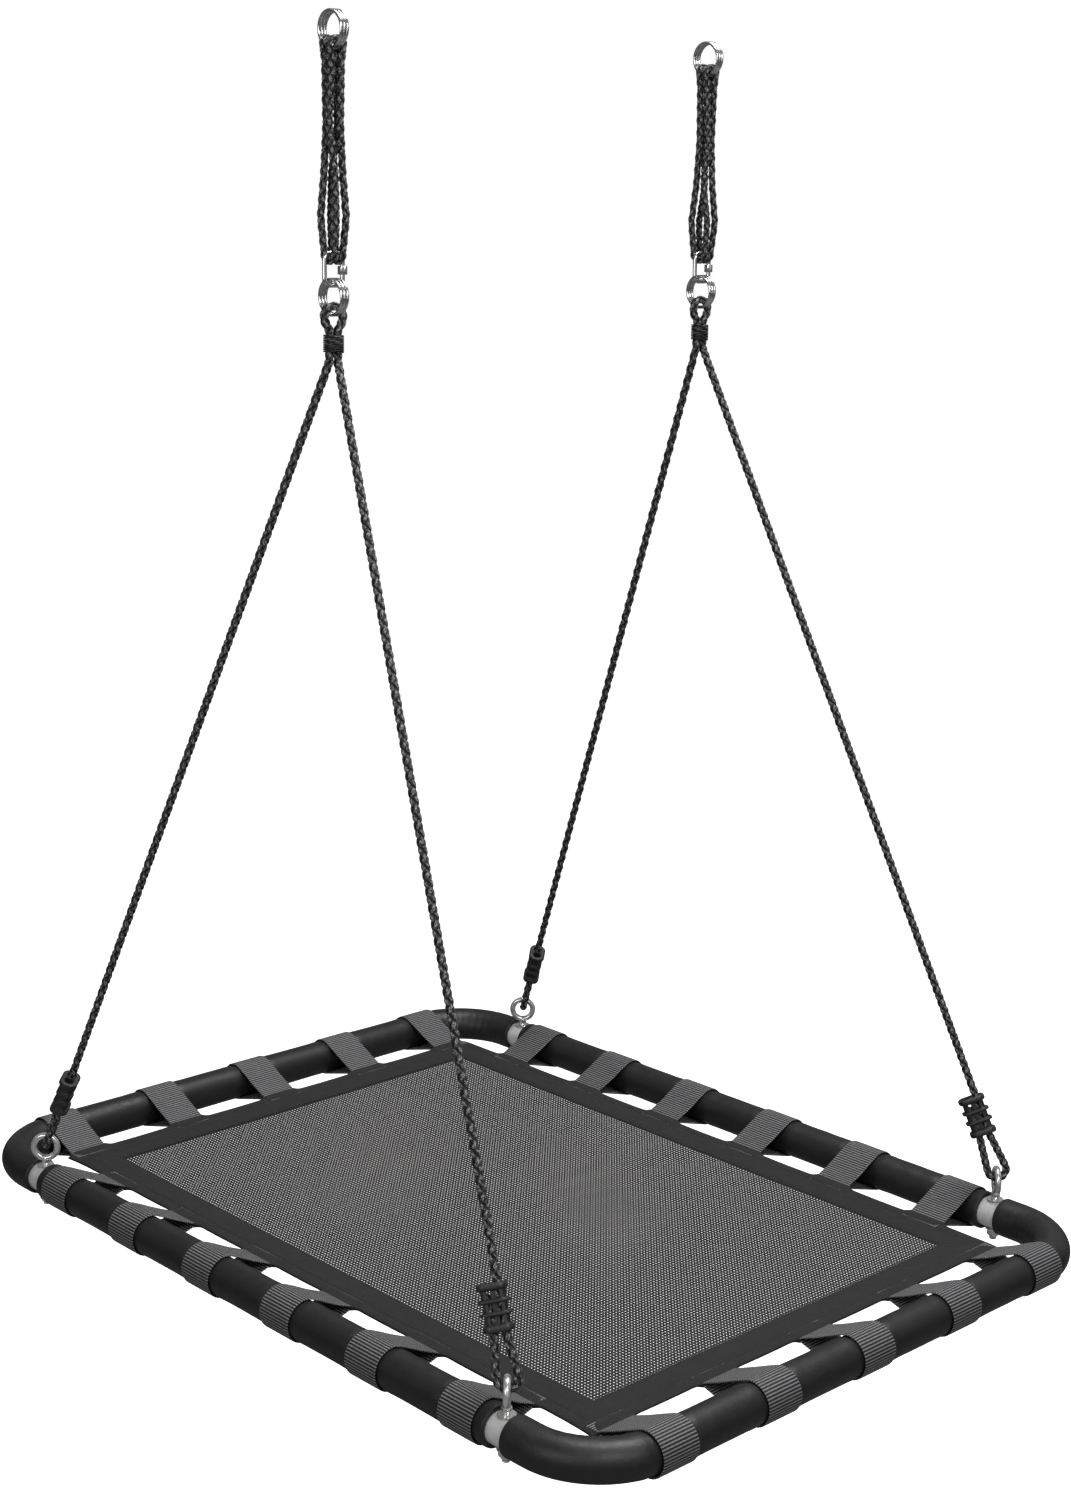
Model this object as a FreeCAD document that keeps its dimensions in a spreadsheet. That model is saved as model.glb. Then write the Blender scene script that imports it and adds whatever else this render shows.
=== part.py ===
import FreeCAD, Part
import Sketcher

import math
import os

from FreeCAD import Placement, Rotation, Vector

# Rectangular platform swing: a padded tube frame with a strapped-in mesh mat, hung by four adjustable rope
# legs from two lower rings, two links, two doubled hanger ropes and two top rings.
# Millimetres. The origin is the middle of the mat's upper face, +X along the long side, +Z up.
# "front" is the -Y long side and "right" is the +X short side.

doc = FreeCAD.newDocument("platform_swing")
sheet = doc.addObject("Spreadsheet::Sheet", "Sizes")

DRIVING = [
    ("frame_length", 1016.0, "outside of the foam, long side"),
    ("frame_width", 762.0, "outside of the foam, short side"),
    ("foam_diameter", 41.0, "outside of the foam sleeve"),
    ("tube_diameter", 31.8, "bare steel tube"),
    ("tube_wall", 1.8, "steel tube wall"),
    ("bend_radius", 78.0, "frame corner, on the tube's centre line"),
    ("rail_height", 4.0, "tube centre above the mat's upper face"),
    ("bolt_offset", 377.0, "eye bolts from the middle, along the long side"),
    ("foam_gap", 22.0, "bare tube between two foam sleeves"),
    ("seam_offset", 20.0, "tube joint beyond the eye bolt"),
    ("spigot_length", 46.0, "reduced tube end inside the side tube"),
    ("slip", 0.1, "radial clearance between sliding or slipped-in pieces"),
    ("bolt_diameter", 8.0, "eye bolt shank"),
    ("eye_hole", 19.0, "hole of the bolt's eye"),
    ("eye_wire", 7.0, "thickness of the eye"),
    ("eye_height", 38.0, "eye's centre above the tube's centre"),
    ("eye_turn", 45.0, "how far the eyes are turned from the long side"),
    ("washer_diameter", 18.0, "flat washer"),
    ("washer_thickness", 1.6, "flat washer"),
    ("nut_width", 13.0, "lock nut across the flats"),
    ("nut_height", 6.0, "hexagon of the lock nut"),
    ("collar_height", 2.2, "round nylon collar of the lock nut"),
    ("collar_inset", 1.0, "collar inside the nut's flats"),
    ("bolt_tail", 3.5, "bolt beyond the nut"),
    ("mat_length", 852.0, "over the border, long side"),
    ("mat_width", 604.0, "over the border, short side"),
    ("border_width", 45.0, "woven border"),
    ("border_thickness", 3.4, "woven border, folded over the mesh edge"),
    ("mesh_thickness", 1.2, "open mesh"),
    ("hem_depth", 12.0, "mesh edge inside the border"),
    ("hem_squeeze", 0.1, "mesh flattened inside the border"),
    ("strap_width", 45.0, "webbing strap"),
    ("strap_thickness", 1.6, "webbing strap"),
    ("strap_tab", 14.0, "strap end sewn flat on the border"),
    ("long_pitch", 132.0, "between straps on a long side"),
    ("strap_ease", 0.6, "strap to foam"),
    ("short_pitch", 137.0, "between straps on a short side"),
    ("rope_diameter", 9.5, "swing rope"),
    ("hanger_diameter", 8.0, "hanger rope"),
    ("ring_diameter", 36.0, "outside of a ring"),
    ("ring_wire", 3.6, "wire of a ring"),
    ("ring_spacing", 3.7, "between the three wires of a ring set"),
    ("top_height", 1220.0, "centre of the top rings"),
    ("lower_height", 978.0, "centre of the lower rings"),
    ("hang_offset", 253.0, "rings from the middle, across the swing"),
    ("rope_gap", 0.8, "rope to ring"),
    ("link_wire", 4.5, "wire of the link"),
    ("link_length", 34.0, "outside of the link"),
    ("link_width", 26.0, "outside of the link"),
    ("link_corner", 6.0, "corner of the link, on the wire's centre line"),
    ("link_play", 1.2, "ring wires to the link's lower bar"),
    ("hanger_play", 1.0, "hanger rope to the link's upper bar"),
    ("link_mouth", 4.0, "opening in the link's side bar"),
    ("sleeve_length", 8.0, "screw sleeve over the opening"),
    ("sleeve_width", 8.0, "screw sleeve across the flats"),
    ("sleeve_grip", 1.0, "screw sleeve above the opening"),
    ("whipping_top", 944.0, "upper end of the whipping"),
    ("whipping_length", 18.0, "whipping that binds the two rope legs"),
    ("whipping_wall", 1.6, "whipping"),
    ("whipping_clear", 7.0, "whipping to the corner where the legs part"),
    ("whipping_rise", 2.6, "whipping to the bend above it"),
    ("fan_rise", 10.0, "height over which the legs spread to the ring's width"),
    ("turn_ease", 3.0, "rope bend over a ring, tighter than half its loop"),
    ("loop_play", 1.8, "rope loop to the bolt's eye"),
    ("adjuster_lift", 38.0, "bolt's eye to the adjuster's lower end"),
    ("adjuster_height", 43.0, "rope adjuster"),
    ("adjuster_width", 29.0, "flange across both ropes"),
    ("adjuster_depth", 20.0, "flange"),
    ("adjuster_bore_gap", 11.2, "between the two rope holes"),
    ("flange_height", 6.0, "end flange of the adjuster"),
    ("rib_height", 2.6, "rib of the adjuster"),
    ("rib_count", 2.0, "ribs between the flanges"),
    ("window_width", 12.0, "window in the adjuster's face"),
    ("window_depth", 3.4, "window in the adjuster's face"),
    ("adjuster_cheek", 1.5, "core beside a rope hole"),
    ("adjuster_face", 2.2, "core in front of a rope hole"),
    ("rib_inset", 1.0, "rib behind the flange's face"),
    ("core_corner", 5.0, "upright corner of the core and ribs"),
    ("flange_corner", 8.0, "upright corner of a flange"),
    ("adjuster_start", 2.0, "rope's bend to the adjuster's lower end"),
    ("tail_reach", 34.4, "tail inside the adjuster"),
]

sheet.set("A1", "alias")
sheet.set("B1", "value")
sheet.set("C1", "meaning")
for row, (alias, value, meaning) in enumerate(DRIVING, start=2):
    sheet.set(f"A{row}", alias)
    sheet.set(f"B{row}", str(value))
    sheet.setAlias(f"B{row}", alias)
    sheet.set(f"C{row}", meaning)
doc.recompute()

FRONT, BACK = -1, 1
LEFT, RIGHT = -1, 1
SIDE_NAME = {FRONT: "front", BACK: "back"}
END_NAME = {LEFT: "left", RIGHT: "right"}
KINK_RADIUS = 30.0  # gentle bend where a rope changes direction
HANGER_EASE = 2.7  # hanger bend over the top ring, tighter than half its loop
BEND_MARGIN = 0.995  # keeps two bends that almost meet from crossing
STRAND_GAP = 0.2  # half the gap between two strands of a hanger
STRAPS_LONG = 6
STRAPS_SHORT = 5
HALF_TURN = 180.0
SHORTEST_RUN = 1e-5  # two bends that meet directly have no straight run between them
TOUCH = 0.05  # gap that keeps two layers of cloth from sharing volume
JOINT_SEAM = "Sizes.bolt_offset + Sizes.seam_offset"
RAIL_Y = "(Sizes.frame_width - Sizes.foam_diameter) / 2"
SPIGOT_DIAMETER = "(Sizes.tube_diameter - 2 * Sizes.tube_wall - 2 * Sizes.slip)"
SPIGOT_BORE = "(Sizes.tube_diameter - 4 * Sizes.tube_wall - 2 * Sizes.slip)"

nodes = {}


def size(alias):
    """The value of one driving dimension."""
    return float(sheet.get(alias))


def keep(name, item):
    """Registers the finished object of one sub-part under its node name."""
    item.Label = name
    nodes[name] = item
    return item


def bind(item, **formulas):
    """Ties properties of an object to formulas over the sheet; x, y and z are its position."""
    for name, formula in formulas.items():
        target = f".Placement.Base.{name}" if name in "xyz" else name
        item.setExpression(target, str(formula))
    return item


def primitive(kind, name, turn=None, **formulas):
    """A Part primitive with bound sizes and place, turned by (axis, degrees)."""
    item = doc.addObject(f"Part::{kind}", name)
    if turn:
        item.Placement = Placement(Vector(), Rotation(*turn))
    return bind(item, **formulas)


def fused(name, pieces):
    item = doc.addObject("Part::MultiFuse", name)
    item.Shapes = pieces
    return item


def cut(name, base, tool):
    item = doc.addObject("Part::Cut", name)
    item.Base = base
    item.Tool = tool
    return item


def grouped(name, pieces):
    """Separate solids of identical pieces, kept together in one node."""
    item = doc.addObject("Part::Compound", name)
    item.Links = pieces
    return item


# ---------------------------------------------------------------- bodies made from sketches


def origin_plane(body, role):
    return next(plane for plane in body.Origin.OriginFeatures if plane.Role == role)


def new_sketch(body, name, role, lift=None):
    """A sketch on one of the body's own origin planes, lifted off it by a formula."""
    sketch = body.newObject("Sketcher::SketchObject", name)
    sketch.AttachmentSupport = [(origin_plane(body, role), "")]
    sketch.MapMode = "FlatFace"
    if lift:
        sketch.setExpression(".AttachmentOffset.Base.z", lift)
    return sketch


def add_circle(sketch, across, up, diameter):
    """A circle whose centre and diameter are formulas."""
    edge = sketch.addGeometry(Part.Circle(Vector(0, 0, 0), Vector(0, 0, 1), 10.0))
    for kind, end, formula in (
        ("DistanceX", (-1, 1, edge, 3), across),
        ("DistanceY", (-1, 1, edge, 3), up),
        ("Diameter", (edge,), diameter),
    ):
        index = sketch.addConstraint(Sketcher.Constraint(kind, *end, 5.0))
        sketch.setExpression(f"Constraints[{index}]", formula)
    return edge


def add_u_path(sketch, start):
    """The right-hand end of the frame seen from above: two straight legs, two bends and the short side."""
    radius = size("bend_radius")
    rail_x = (size("frame_length") - size("foam_diameter")) / 2
    rail_y = (size("frame_width") - size("foam_diameter")) / 2
    begin = size("bolt_offset") + start
    bend_x, bend_y = rail_x - radius, rail_y - radius
    low = Vector(bend_x, -bend_y, 0)
    high = Vector(bend_x, bend_y, 0)
    sketch.addGeometry(Part.LineSegment(Vector(begin, -rail_y, 0), Vector(bend_x, -rail_y, 0)))
    sketch.addGeometry(
        Part.ArcOfCircle(Part.Circle(low, Vector(0, 0, 1), radius), -math.pi / 2, 0)
    )
    sketch.addGeometry(Part.LineSegment(Vector(rail_x, -bend_y, 0), Vector(rail_x, bend_y, 0)))
    sketch.addGeometry(
        Part.ArcOfCircle(Part.Circle(high, Vector(0, 0, 1), radius), 0, math.pi / 2)
    )
    sketch.addGeometry(Part.LineSegment(Vector(bend_x, rail_y, 0), Vector(begin, rail_y, 0)))


def add_pad(body, sketch, length, both_ways=False, reverse=False):
    pad = body.newObject("PartDesign::Pad", f"{sketch.Name}_pad")
    pad.Profile = sketch
    pad.setExpression("Length", length)
    if both_ways:
        pad.Midplane = True
    pad.Reversed = reverse
    return pad


def drill_through(body, name, places, diameter):
    """Vertical holes through the whole body, at (x, y) formulas on its ground plane."""
    sketch = new_sketch(body, name, "XY_Plane")
    for across, up in places:
        add_circle(sketch, across, up, diameter)
    pocket = body.newObject("PartDesign::Pocket", f"{name}_pocket")
    pocket.Profile = sketch
    pocket.Midplane = True
    pocket.setExpression("Length", "4 * Sizes.tube_diameter")
    return pocket


def straight_sleeve(name, side, outer, inner, length, holes=False):
    """A straight tube along a long side: the steel side tube or its foam sleeve."""
    body = doc.addObject("PartDesign::Body", name)
    ring = new_sketch(body, f"{name}_ring", "YZ_Plane")
    for diameter in (outer, inner):
        add_circle(ring, f"{side} * {RAIL_Y}", "Sizes.rail_height", diameter)
    add_pad(body, ring, length, both_ways=True)
    if holes:
        drill_through(
            body,
            f"{name}_holes",
            [(f"{end} * Sizes.bolt_offset", f"{side} * {RAIL_Y}") for end in (LEFT, RIGHT)],
            "Sizes.bolt_diameter + 2 * Sizes.slip",
        )
    return keep(name, body)


def bent_sleeve(name, end, start, start_value, outer, inner):
    """A U-shaped tube round one end of the frame: the steel end tube or its foam sleeve."""
    body = doc.addObject("PartDesign::Body", name)
    path = new_sketch(body, f"{name}_path", "XY_Plane", "Sizes.rail_height")
    add_u_path(path, start_value)
    ring = new_sketch(body, f"{name}_ring", "YZ_Plane", f"Sizes.bolt_offset + {start}")
    for diameter in (outer, inner):
        add_circle(ring, f"-{RAIL_Y}", "Sizes.rail_height", diameter)
    pipe = body.newObject("PartDesign::AdditivePipe", f"{name}_pipe")
    pipe.Profile = ring
    pipe.Spine = path
    if end == LEFT:
        body.Placement = Placement(Vector(), Rotation(Vector(0, 0, 1), HALF_TURN))
    return keep(name, body)


def add_spigots(body):
    """Reduced ends that slip into the side tubes, each with the step of the swage at the joint."""
    for side in (FRONT, BACK):
        tag = SIDE_NAME[side]
        for part, outer, length in (
            ("shoulder", "Sizes.tube_diameter", "2 * Sizes.tube_wall"),
            ("spigot", SPIGOT_DIAMETER, "-Sizes.spigot_length"),
        ):
            sketch = new_sketch(body, f"{body.Name}_{part}_{tag}", "YZ_Plane", JOINT_SEAM)
            add_circle(sketch, f"{side} * {RAIL_Y}", "Sizes.rail_height", outer)
            add_circle(sketch, f"{side} * {RAIL_Y}", "Sizes.rail_height", SPIGOT_BORE)
            inward = length.startswith("-")
            add_pad(body, sketch, length.lstrip("-"), reverse=inward)
    drill_through(
        body,
        f"{body.Name}_holes",
        [("Sizes.bolt_offset", f"{side} * {RAIL_Y}") for side in (FRONT, BACK)],
        "Sizes.bolt_diameter + 2 * Sizes.slip",
    )


def make_frame():
    bore = "Sizes.tube_diameter - 2 * Sizes.tube_wall"
    foam_bore = "Sizes.tube_diameter + 2 * Sizes.slip"
    foam_length = "2 * Sizes.bolt_offset - Sizes.foam_gap"
    for side in (FRONT, BACK):
        tag = SIDE_NAME[side]
        straight_sleeve(
            f"side_tube_{tag}", side, "Sizes.tube_diameter", bore, f"2 * ({JOINT_SEAM})", True
        )
        straight_sleeve(f"foam_{tag}", side, "Sizes.foam_diameter", foam_bore, foam_length)
    for end in (LEFT, RIGHT):
        tag = END_NAME[end]
        tube = bent_sleeve(
            f"end_tube_{tag}",
            end,
            "Sizes.seam_offset",
            size("seam_offset"),
            "Sizes.tube_diameter",
            bore,
        )
        add_spigots(tube)
        bent_sleeve(
            f"foam_{tag}",
            end,
            "Sizes.foam_gap / 2",
            size("foam_gap") / 2,
            "Sizes.foam_diameter",
            foam_bore,
        )


# ---------------------------------------------------------------- bolts, washers and nuts


def make_bolts():
    bolts, washers, nuts = [], [], []
    tube_radius = "Sizes.tube_diameter / 2"
    below = f"(Sizes.rail_height - {tube_radius} - Sizes.washer_thickness)"
    nut_stack = "(Sizes.nut_height + Sizes.collar_height)"
    for side in (FRONT, BACK):
        for end in (LEFT, RIGHT):
            tag = f"{SIDE_NAME[side]}_{END_NAME[end]}"
            place = {"x": f"{end} * Sizes.bolt_offset", "y": f"{side} * {RAIL_Y}"}
            shank_top = "(Sizes.rail_height + Sizes.eye_height - Sizes.eye_hole / 2)"
            shank_foot = f"({below} - {nut_stack} - Sizes.bolt_tail)"
            shank = primitive(
                "Cylinder",
                f"shank_{tag}",
                Radius="Sizes.bolt_diameter / 2",
                Height=f"{shank_top} - {shank_foot} - Sizes.eye_wire / 2",
                z=shank_foot,
                **place,
            )
            eye = primitive(
                "Torus",
                f"eye_{tag}",
                Radius1="(Sizes.eye_hole + Sizes.eye_wire) / 2",
                Radius2="Sizes.eye_wire / 2",
                z="Sizes.rail_height + Sizes.eye_height",
                **place,
            )
            upright = Rotation(Vector(1, 0, 0), 90)
            turn = Rotation(Vector(0, 0, 1), -end * size("eye_turn"))
            eye.Placement = Placement(eye.Placement.Base, turn.multiply(upright))
            bolts.append(fused(f"eye_bolt_{tag}", [shank, eye]))
            for spot, height in (
                ("top", f"Sizes.rail_height + {tube_radius}"),
                ("bottom", below),
            ):
                disc = primitive(
                    "Cylinder",
                    f"washer_{spot}_{tag}",
                    Radius="Sizes.washer_diameter / 2",
                    Height="Sizes.washer_thickness",
                    z=height,
                    **place,
                )
                hole = primitive(
                    "Cylinder",
                    f"washer_hole_{spot}_{tag}",
                    Radius="Sizes.bolt_diameter / 2 + 2 * Sizes.slip",
                    Height="Sizes.washer_thickness",
                    z=height,
                    **place,
                )
                washers.append(cut(f"bolt_washer_{spot}_{tag}", disc, hole))
            hexagon = primitive(
                "Prism",
                f"hexagon_{tag}",
                Circumradius="Sizes.nut_width / sqrt(3)",
                Height="Sizes.nut_height",
                z=f"{below} - Sizes.nut_height",
                **place,
            )
            collar = primitive(
                "Cylinder",
                f"collar_{tag}",
                Radius="Sizes.nut_width / 2 - Sizes.collar_inset",
                Height="Sizes.collar_height",
                z=f"{below} - {nut_stack}",
                **place,
            )
            thread = primitive(
                "Cylinder",
                f"thread_{tag}",
                Radius="Sizes.bolt_diameter / 2 + Sizes.slip / 2",
                Height=nut_stack,
                z=f"{below} - {nut_stack}",
                **place,
            )
            nuts.append(cut(f"lock_nut_{tag}", fused(f"nut_blank_{tag}", [hexagon, collar]), thread))
    keep("eye_bolts", grouped("eye_bolts", bolts))
    keep("bolt_washers", grouped("bolt_washers", washers))
    keep("lock_nuts", grouped("lock_nuts", nuts))


# ---------------------------------------------------------------- mat and straps


def slab(name, length, width, low, thickness):
    """A flat block centred on the mat, from a height upwards."""
    return primitive(
        "Box",
        name,
        Length=length,
        Width=width,
        Height=thickness,
        x=f"-({length}) / 2",
        y=f"-({width}) / 2",
        z=low,
    )


def make_mat():
    inner = ["Sizes.mat_length - 2 * Sizes.border_width", "Sizes.mat_width - 2 * Sizes.border_width"]
    hemmed = [f"{edge} + 2 * Sizes.hem_depth" for edge in inner]
    foot = "-(Sizes.border_thickness + Sizes.mesh_thickness) / 2"
    rim_foot = "Sizes.hem_squeeze - Sizes.mesh_thickness"
    rim_height = "Sizes.mesh_thickness - 2 * Sizes.hem_squeeze"
    field = slab("mesh_field", *inner, "-Sizes.mesh_thickness", "Sizes.mesh_thickness")
    rim = slab("mesh_rim", *hemmed, rim_foot, rim_height)
    keep("mat_mesh", fused("mat_mesh", [field, rim]))
    outline = ["Sizes.mat_length", "Sizes.mat_width"]
    blank = slab("border_blank", *outline, foot, "Sizes.border_thickness")
    window = slab("border_window", *inner, foot, "Sizes.border_thickness")
    pocket = slab("border_pocket", *hemmed, rim_foot, rim_height)
    keep("mat_border", cut("mat_border", blank, fused("border_opening", [window, pocket])))


def tangent_point(centre, radius, outside, upper):
    """Where the straight run from an outside point touches a circle, in a flat section."""
    gap = outside.sub(centre)
    reach = math.acos(radius / gap.Length)
    heading = math.atan2(gap.y, gap.x) + (-reach if upper else reach)
    return centre.add(Vector(radius * math.cos(heading), radius * math.sin(heading), 0))


def strap_section(edge, rail):
    """Section of one strap: sewn on the border, over the foam, round it and back under the border.

    x runs outwards from the mat's middle and y is the height."""
    thickness = size("strap_thickness")
    half_border = size("border_thickness") / 2
    middle = -size("mesh_thickness") / 2
    centre = Vector(rail, size("rail_height"), 0)
    foam = size("foam_diameter") / 2 + size("strap_ease")
    outline = []
    for shift in (0.0, thickness):
        radius = foam + shift
        top = Vector(edge, middle + half_border + TOUCH + shift, 0)
        bottom = Vector(edge, middle - half_border - TOUCH - shift, 0)
        over = tangent_point(centre, radius, top, True)
        under = tangent_point(centre, radius, bottom, False)
        far = centre.add(Vector(radius, 0, 0))
        tab = Vector(size("strap_tab"), 0, 0)
        run = [
            Part.LineSegment(top.sub(tab), top),
            Part.LineSegment(top, over),
            Part.Arc(over, far, under),
            Part.LineSegment(under, bottom),
            Part.LineSegment(bottom, bottom.sub(tab)),
        ]
        outline.append((run, top.sub(tab), bottom.sub(tab)))
    (inner, inner_top, inner_bottom), (outer, outer_top, outer_bottom) = outline
    ends = [Part.LineSegment(inner_top, outer_top), Part.LineSegment(inner_bottom, outer_bottom)]
    edges = [piece.toShape() for piece in inner + outer + ends]
    return Part.Face(Part.Wire(Part.__sortEdges__(edges)))


def strap_row(name, edge, rail, count, pitch, heading):
    """A row of identical straps along one side of the mat, whose outward direction is a heading."""
    width = size("strap_width")
    stand_up = Placement(Vector(0, 0, 0), Rotation(Vector(1, 0, 0), 90))
    spin = Placement(Vector(0, 0, 0), Rotation(Vector(0, 0, 1), heading))
    straps = []
    for number in range(count):
        offset = (number - (count - 1) / 2) * pitch
        band = strap_section(edge, rail)
        band.Placement = stand_up
        strap = band.extrude(Vector(0, width, 0))
        strap.translate(Vector(0, offset - width / 2, 0))
        strap.Placement = spin.multiply(strap.Placement)
        straps.append(strap)
    item = doc.addObject("Part::Feature", name)
    item.Shape = Part.makeCompound(straps)
    return keep(name, item)


def make_straps():
    rail_x = (size("frame_length") - size("foam_diameter")) / 2
    rail_y = (size("frame_width") - size("foam_diameter")) / 2
    edge_x, edge_y = size("mat_length") / 2, size("mat_width") / 2
    short = (edge_x, rail_x, STRAPS_SHORT, size("short_pitch"))
    long = (edge_y, rail_y, STRAPS_LONG, size("long_pitch"))
    strap_row("straps_right", *short, 0)
    strap_row("straps_back", *long, 90)
    strap_row("straps_left", *short, 180)
    strap_row("straps_front", *long, 270)


# ---------------------------------------------------------------- rings and links


def ring_set(name, side, height):
    """Three welded rings side by side, facing along the hinge line of the swing."""
    rings = []
    for number in (-1, 0, 1):
        rings.append(
            primitive(
                "Torus",
                f"{name}_{number + 2}",
                (Vector(1, 0, 0), 90),
                Radius1="(Sizes.ring_diameter - Sizes.ring_wire) / 2",
                Radius2="Sizes.ring_wire / 2",
                y=f"{side} * Sizes.hang_offset + {number} * Sizes.ring_spacing",
                z=height,
            )
        )
    return keep(name, grouped(name, rings))


def link_heights():
    """Centre heights of the link's lower and upper bars: the ring's wires rest over the lower bar."""
    ring_top = size("lower_height") + (size("ring_diameter") - size("ring_wire")) / 2
    lower = ring_top - (size("ring_wire") + size("link_wire")) / 2 - size("link_play")
    return lower, lower + size("link_length") - size("link_wire")


def make_link(side):
    """Oval link bent from one wire, open in one side bar, and the sleeve that closes the opening."""
    tag = SIDE_NAME[side]
    lower, upper = link_heights()
    half = (size("link_width") - size("link_wire")) / 2
    mouth = size("link_mouth") / 2
    middle = (lower + upper) / 2
    corner = size("link_corner")
    turn = math.pi / 2
    body = doc.addObject("PartDesign::Body", f"link_{tag}")
    path = new_sketch(body, f"link_path_{tag}", "YZ_Plane")
    base = side * size("hang_offset")
    path.addGeometry(
        Part.LineSegment(
            Vector(base + half, middle + mouth, 0), Vector(base + half, upper - corner, 0)
        )
    )
    corners = [
        (half - corner, upper - corner, 0),
        (corner - half, upper - corner, turn),
        (corner - half, lower + corner, 2 * turn),
        (half - corner, lower + corner, 3 * turn),
    ]
    for number, (across, up, start) in enumerate(corners):
        circle = Part.Circle(Vector(base + across, up, 0), Vector(0, 0, 1), corner)
        arc = Part.ArcOfCircle(circle, start, start + turn)
        path.addGeometry(arc)
        if number < 3:
            next_across, next_up, next_start = corners[number + 1]
            reach = Vector(math.cos(next_start), math.sin(next_start), 0).multiply(corner)
            begin = Vector(base + next_across, next_up, 0).add(reach)
            path.addGeometry(Part.LineSegment(arc.EndPoint, begin))
    path.addGeometry(
        Part.LineSegment(
            Vector(base + half, lower + corner, 0), Vector(base + half, middle - mouth, 0)
        )
    )
    section = new_sketch(body, f"link_section_{tag}", "XY_Plane", str(middle + mouth))
    across_middle = f"{side} * Sizes.hang_offset + (Sizes.link_width - Sizes.link_wire) / 2"
    add_circle(section, "0", across_middle, "Sizes.link_wire")
    pipe = body.newObject("PartDesign::AdditivePipe", f"link_pipe_{tag}")
    pipe.Profile = section
    pipe.Spine = path
    keep(f"link_{tag}", body)
    sleeve_foot = middle + mouth - size("sleeve_length") + size("sleeve_grip")
    spot = {"y": across_middle, "z": str(sleeve_foot)}
    nut = primitive(
        "Prism",
        f"sleeve_blank_{tag}",
        Circumradius="Sizes.sleeve_width / sqrt(3)",
        Height="Sizes.sleeve_length",
        **spot,
    )
    bore = primitive(
        "Cylinder",
        f"sleeve_bore_{tag}",
        Radius="Sizes.link_wire / 2 + Sizes.slip",
        Height="Sizes.sleeve_length",
        **spot,
    )
    keep(f"link_sleeve_{tag}", cut(f"link_sleeve_{tag}", nut, bore))


# ---------------------------------------------------------------- ropes


def rounded_path(points, radii, closed=False):
    """A wire through corner points, each corner rounded to its own radius."""
    count = len(points)
    corners = range(count) if closed else range(1, count - 1)
    arcs = {}
    for index in corners:
        corner = points[index]
        before = points[index - 1].sub(corner).normalize()
        after = points[(index + 1) % count].sub(corner).normalize()
        half = before.getAngle(after) / 2
        middle = before.add(after).normalize()
        radius = radii[index]
        trim = radius / math.tan(half)
        start = corner.add(before.multiply(trim))
        finish = corner.add(after.multiply(trim))
        centre = corner.add(Vector(middle).multiply(radius / math.sin(half)))
        crown = centre.sub(Vector(middle).multiply(radius))
        arcs[index] = (start, crown, finish)
    edges = []
    for index in range(count if closed else count - 1):
        following = (index + 1) % count
        start = arcs[index][2] if index in arcs else points[index]
        finish = arcs[following][0] if following in arcs else points[following]
        if start.distanceToPoint(finish) > SHORTEST_RUN:
            edges.append(Part.makeLine(start, finish))
        if following in arcs:
            edges.append(Part.Arc(*arcs[following]).toShape())
    return Part.Wire(edges)


def rope_along(name, path, diameter):
    """A round rope swept along a wire from its first point."""
    first = path.Edges[0]
    start = first.valueAt(first.FirstParameter)
    heading = first.tangentAt(first.FirstParameter)
    section = Part.Face(Part.Wire(Part.makeCircle(diameter / 2, start, heading)))
    item = doc.addObject("Part::Feature", name)
    item.Shape = path.makePipe(section)
    return keep(name, item)


def eye_normal(end):
    """The way an eye faces: across the long side, turned by the eye's own angle."""
    turn = math.radians(-end * size("eye_turn"))
    return Vector(-math.sin(turn), math.cos(turn), 0)


def eye_pivot(side, end):
    """Centre of the eye's wire where the rope loop bears on it, at the side the leg pulls towards."""
    rail_y = (size("frame_width") - size("foam_diameter")) / 2
    height = size("rail_height") + size("eye_height")
    centre = Vector(end * size("bolt_offset"), side * rail_y, height)
    pull = leg_top(side, end).sub(centre)
    normal = eye_normal(end)
    pull = pull.sub(Vector(normal).multiply(normal.dot(pull))).normalize()
    return centre.add(pull.multiply((size("eye_hole") + size("eye_wire")) / 2))


def leg_top(side, end):
    """Where one rope leg turns outwards, just under the whipping."""
    shift = size("rope_diameter") / 2 + TOUCH
    foot = size("whipping_top") - size("whipping_length")
    return Vector(0, side * size("hang_offset") + end * shift, foot - size("whipping_clear"))


def leg_axes(side, end):
    """Directions of a rope leg: along the main strand, and across to the strand beside it."""
    pivot, top = eye_pivot(side, end), leg_top(side, end)
    line = top.sub(pivot)
    normal = eye_normal(end)
    along = Vector(line).normalize()
    across = normal.sub(Vector(along).multiply(normal.dot(along))).normalize()
    half_gap = size("adjuster_bore_gap") / 2
    lean = math.asin(half_gap / line.Length)
    main = Vector(along).multiply(math.cos(lean)).sub(Vector(across).multiply(math.sin(lean)))
    beside = Vector(across).multiply(math.cos(lean)).add(Vector(along).multiply(math.sin(lean)))
    return along, across, main, beside


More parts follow.
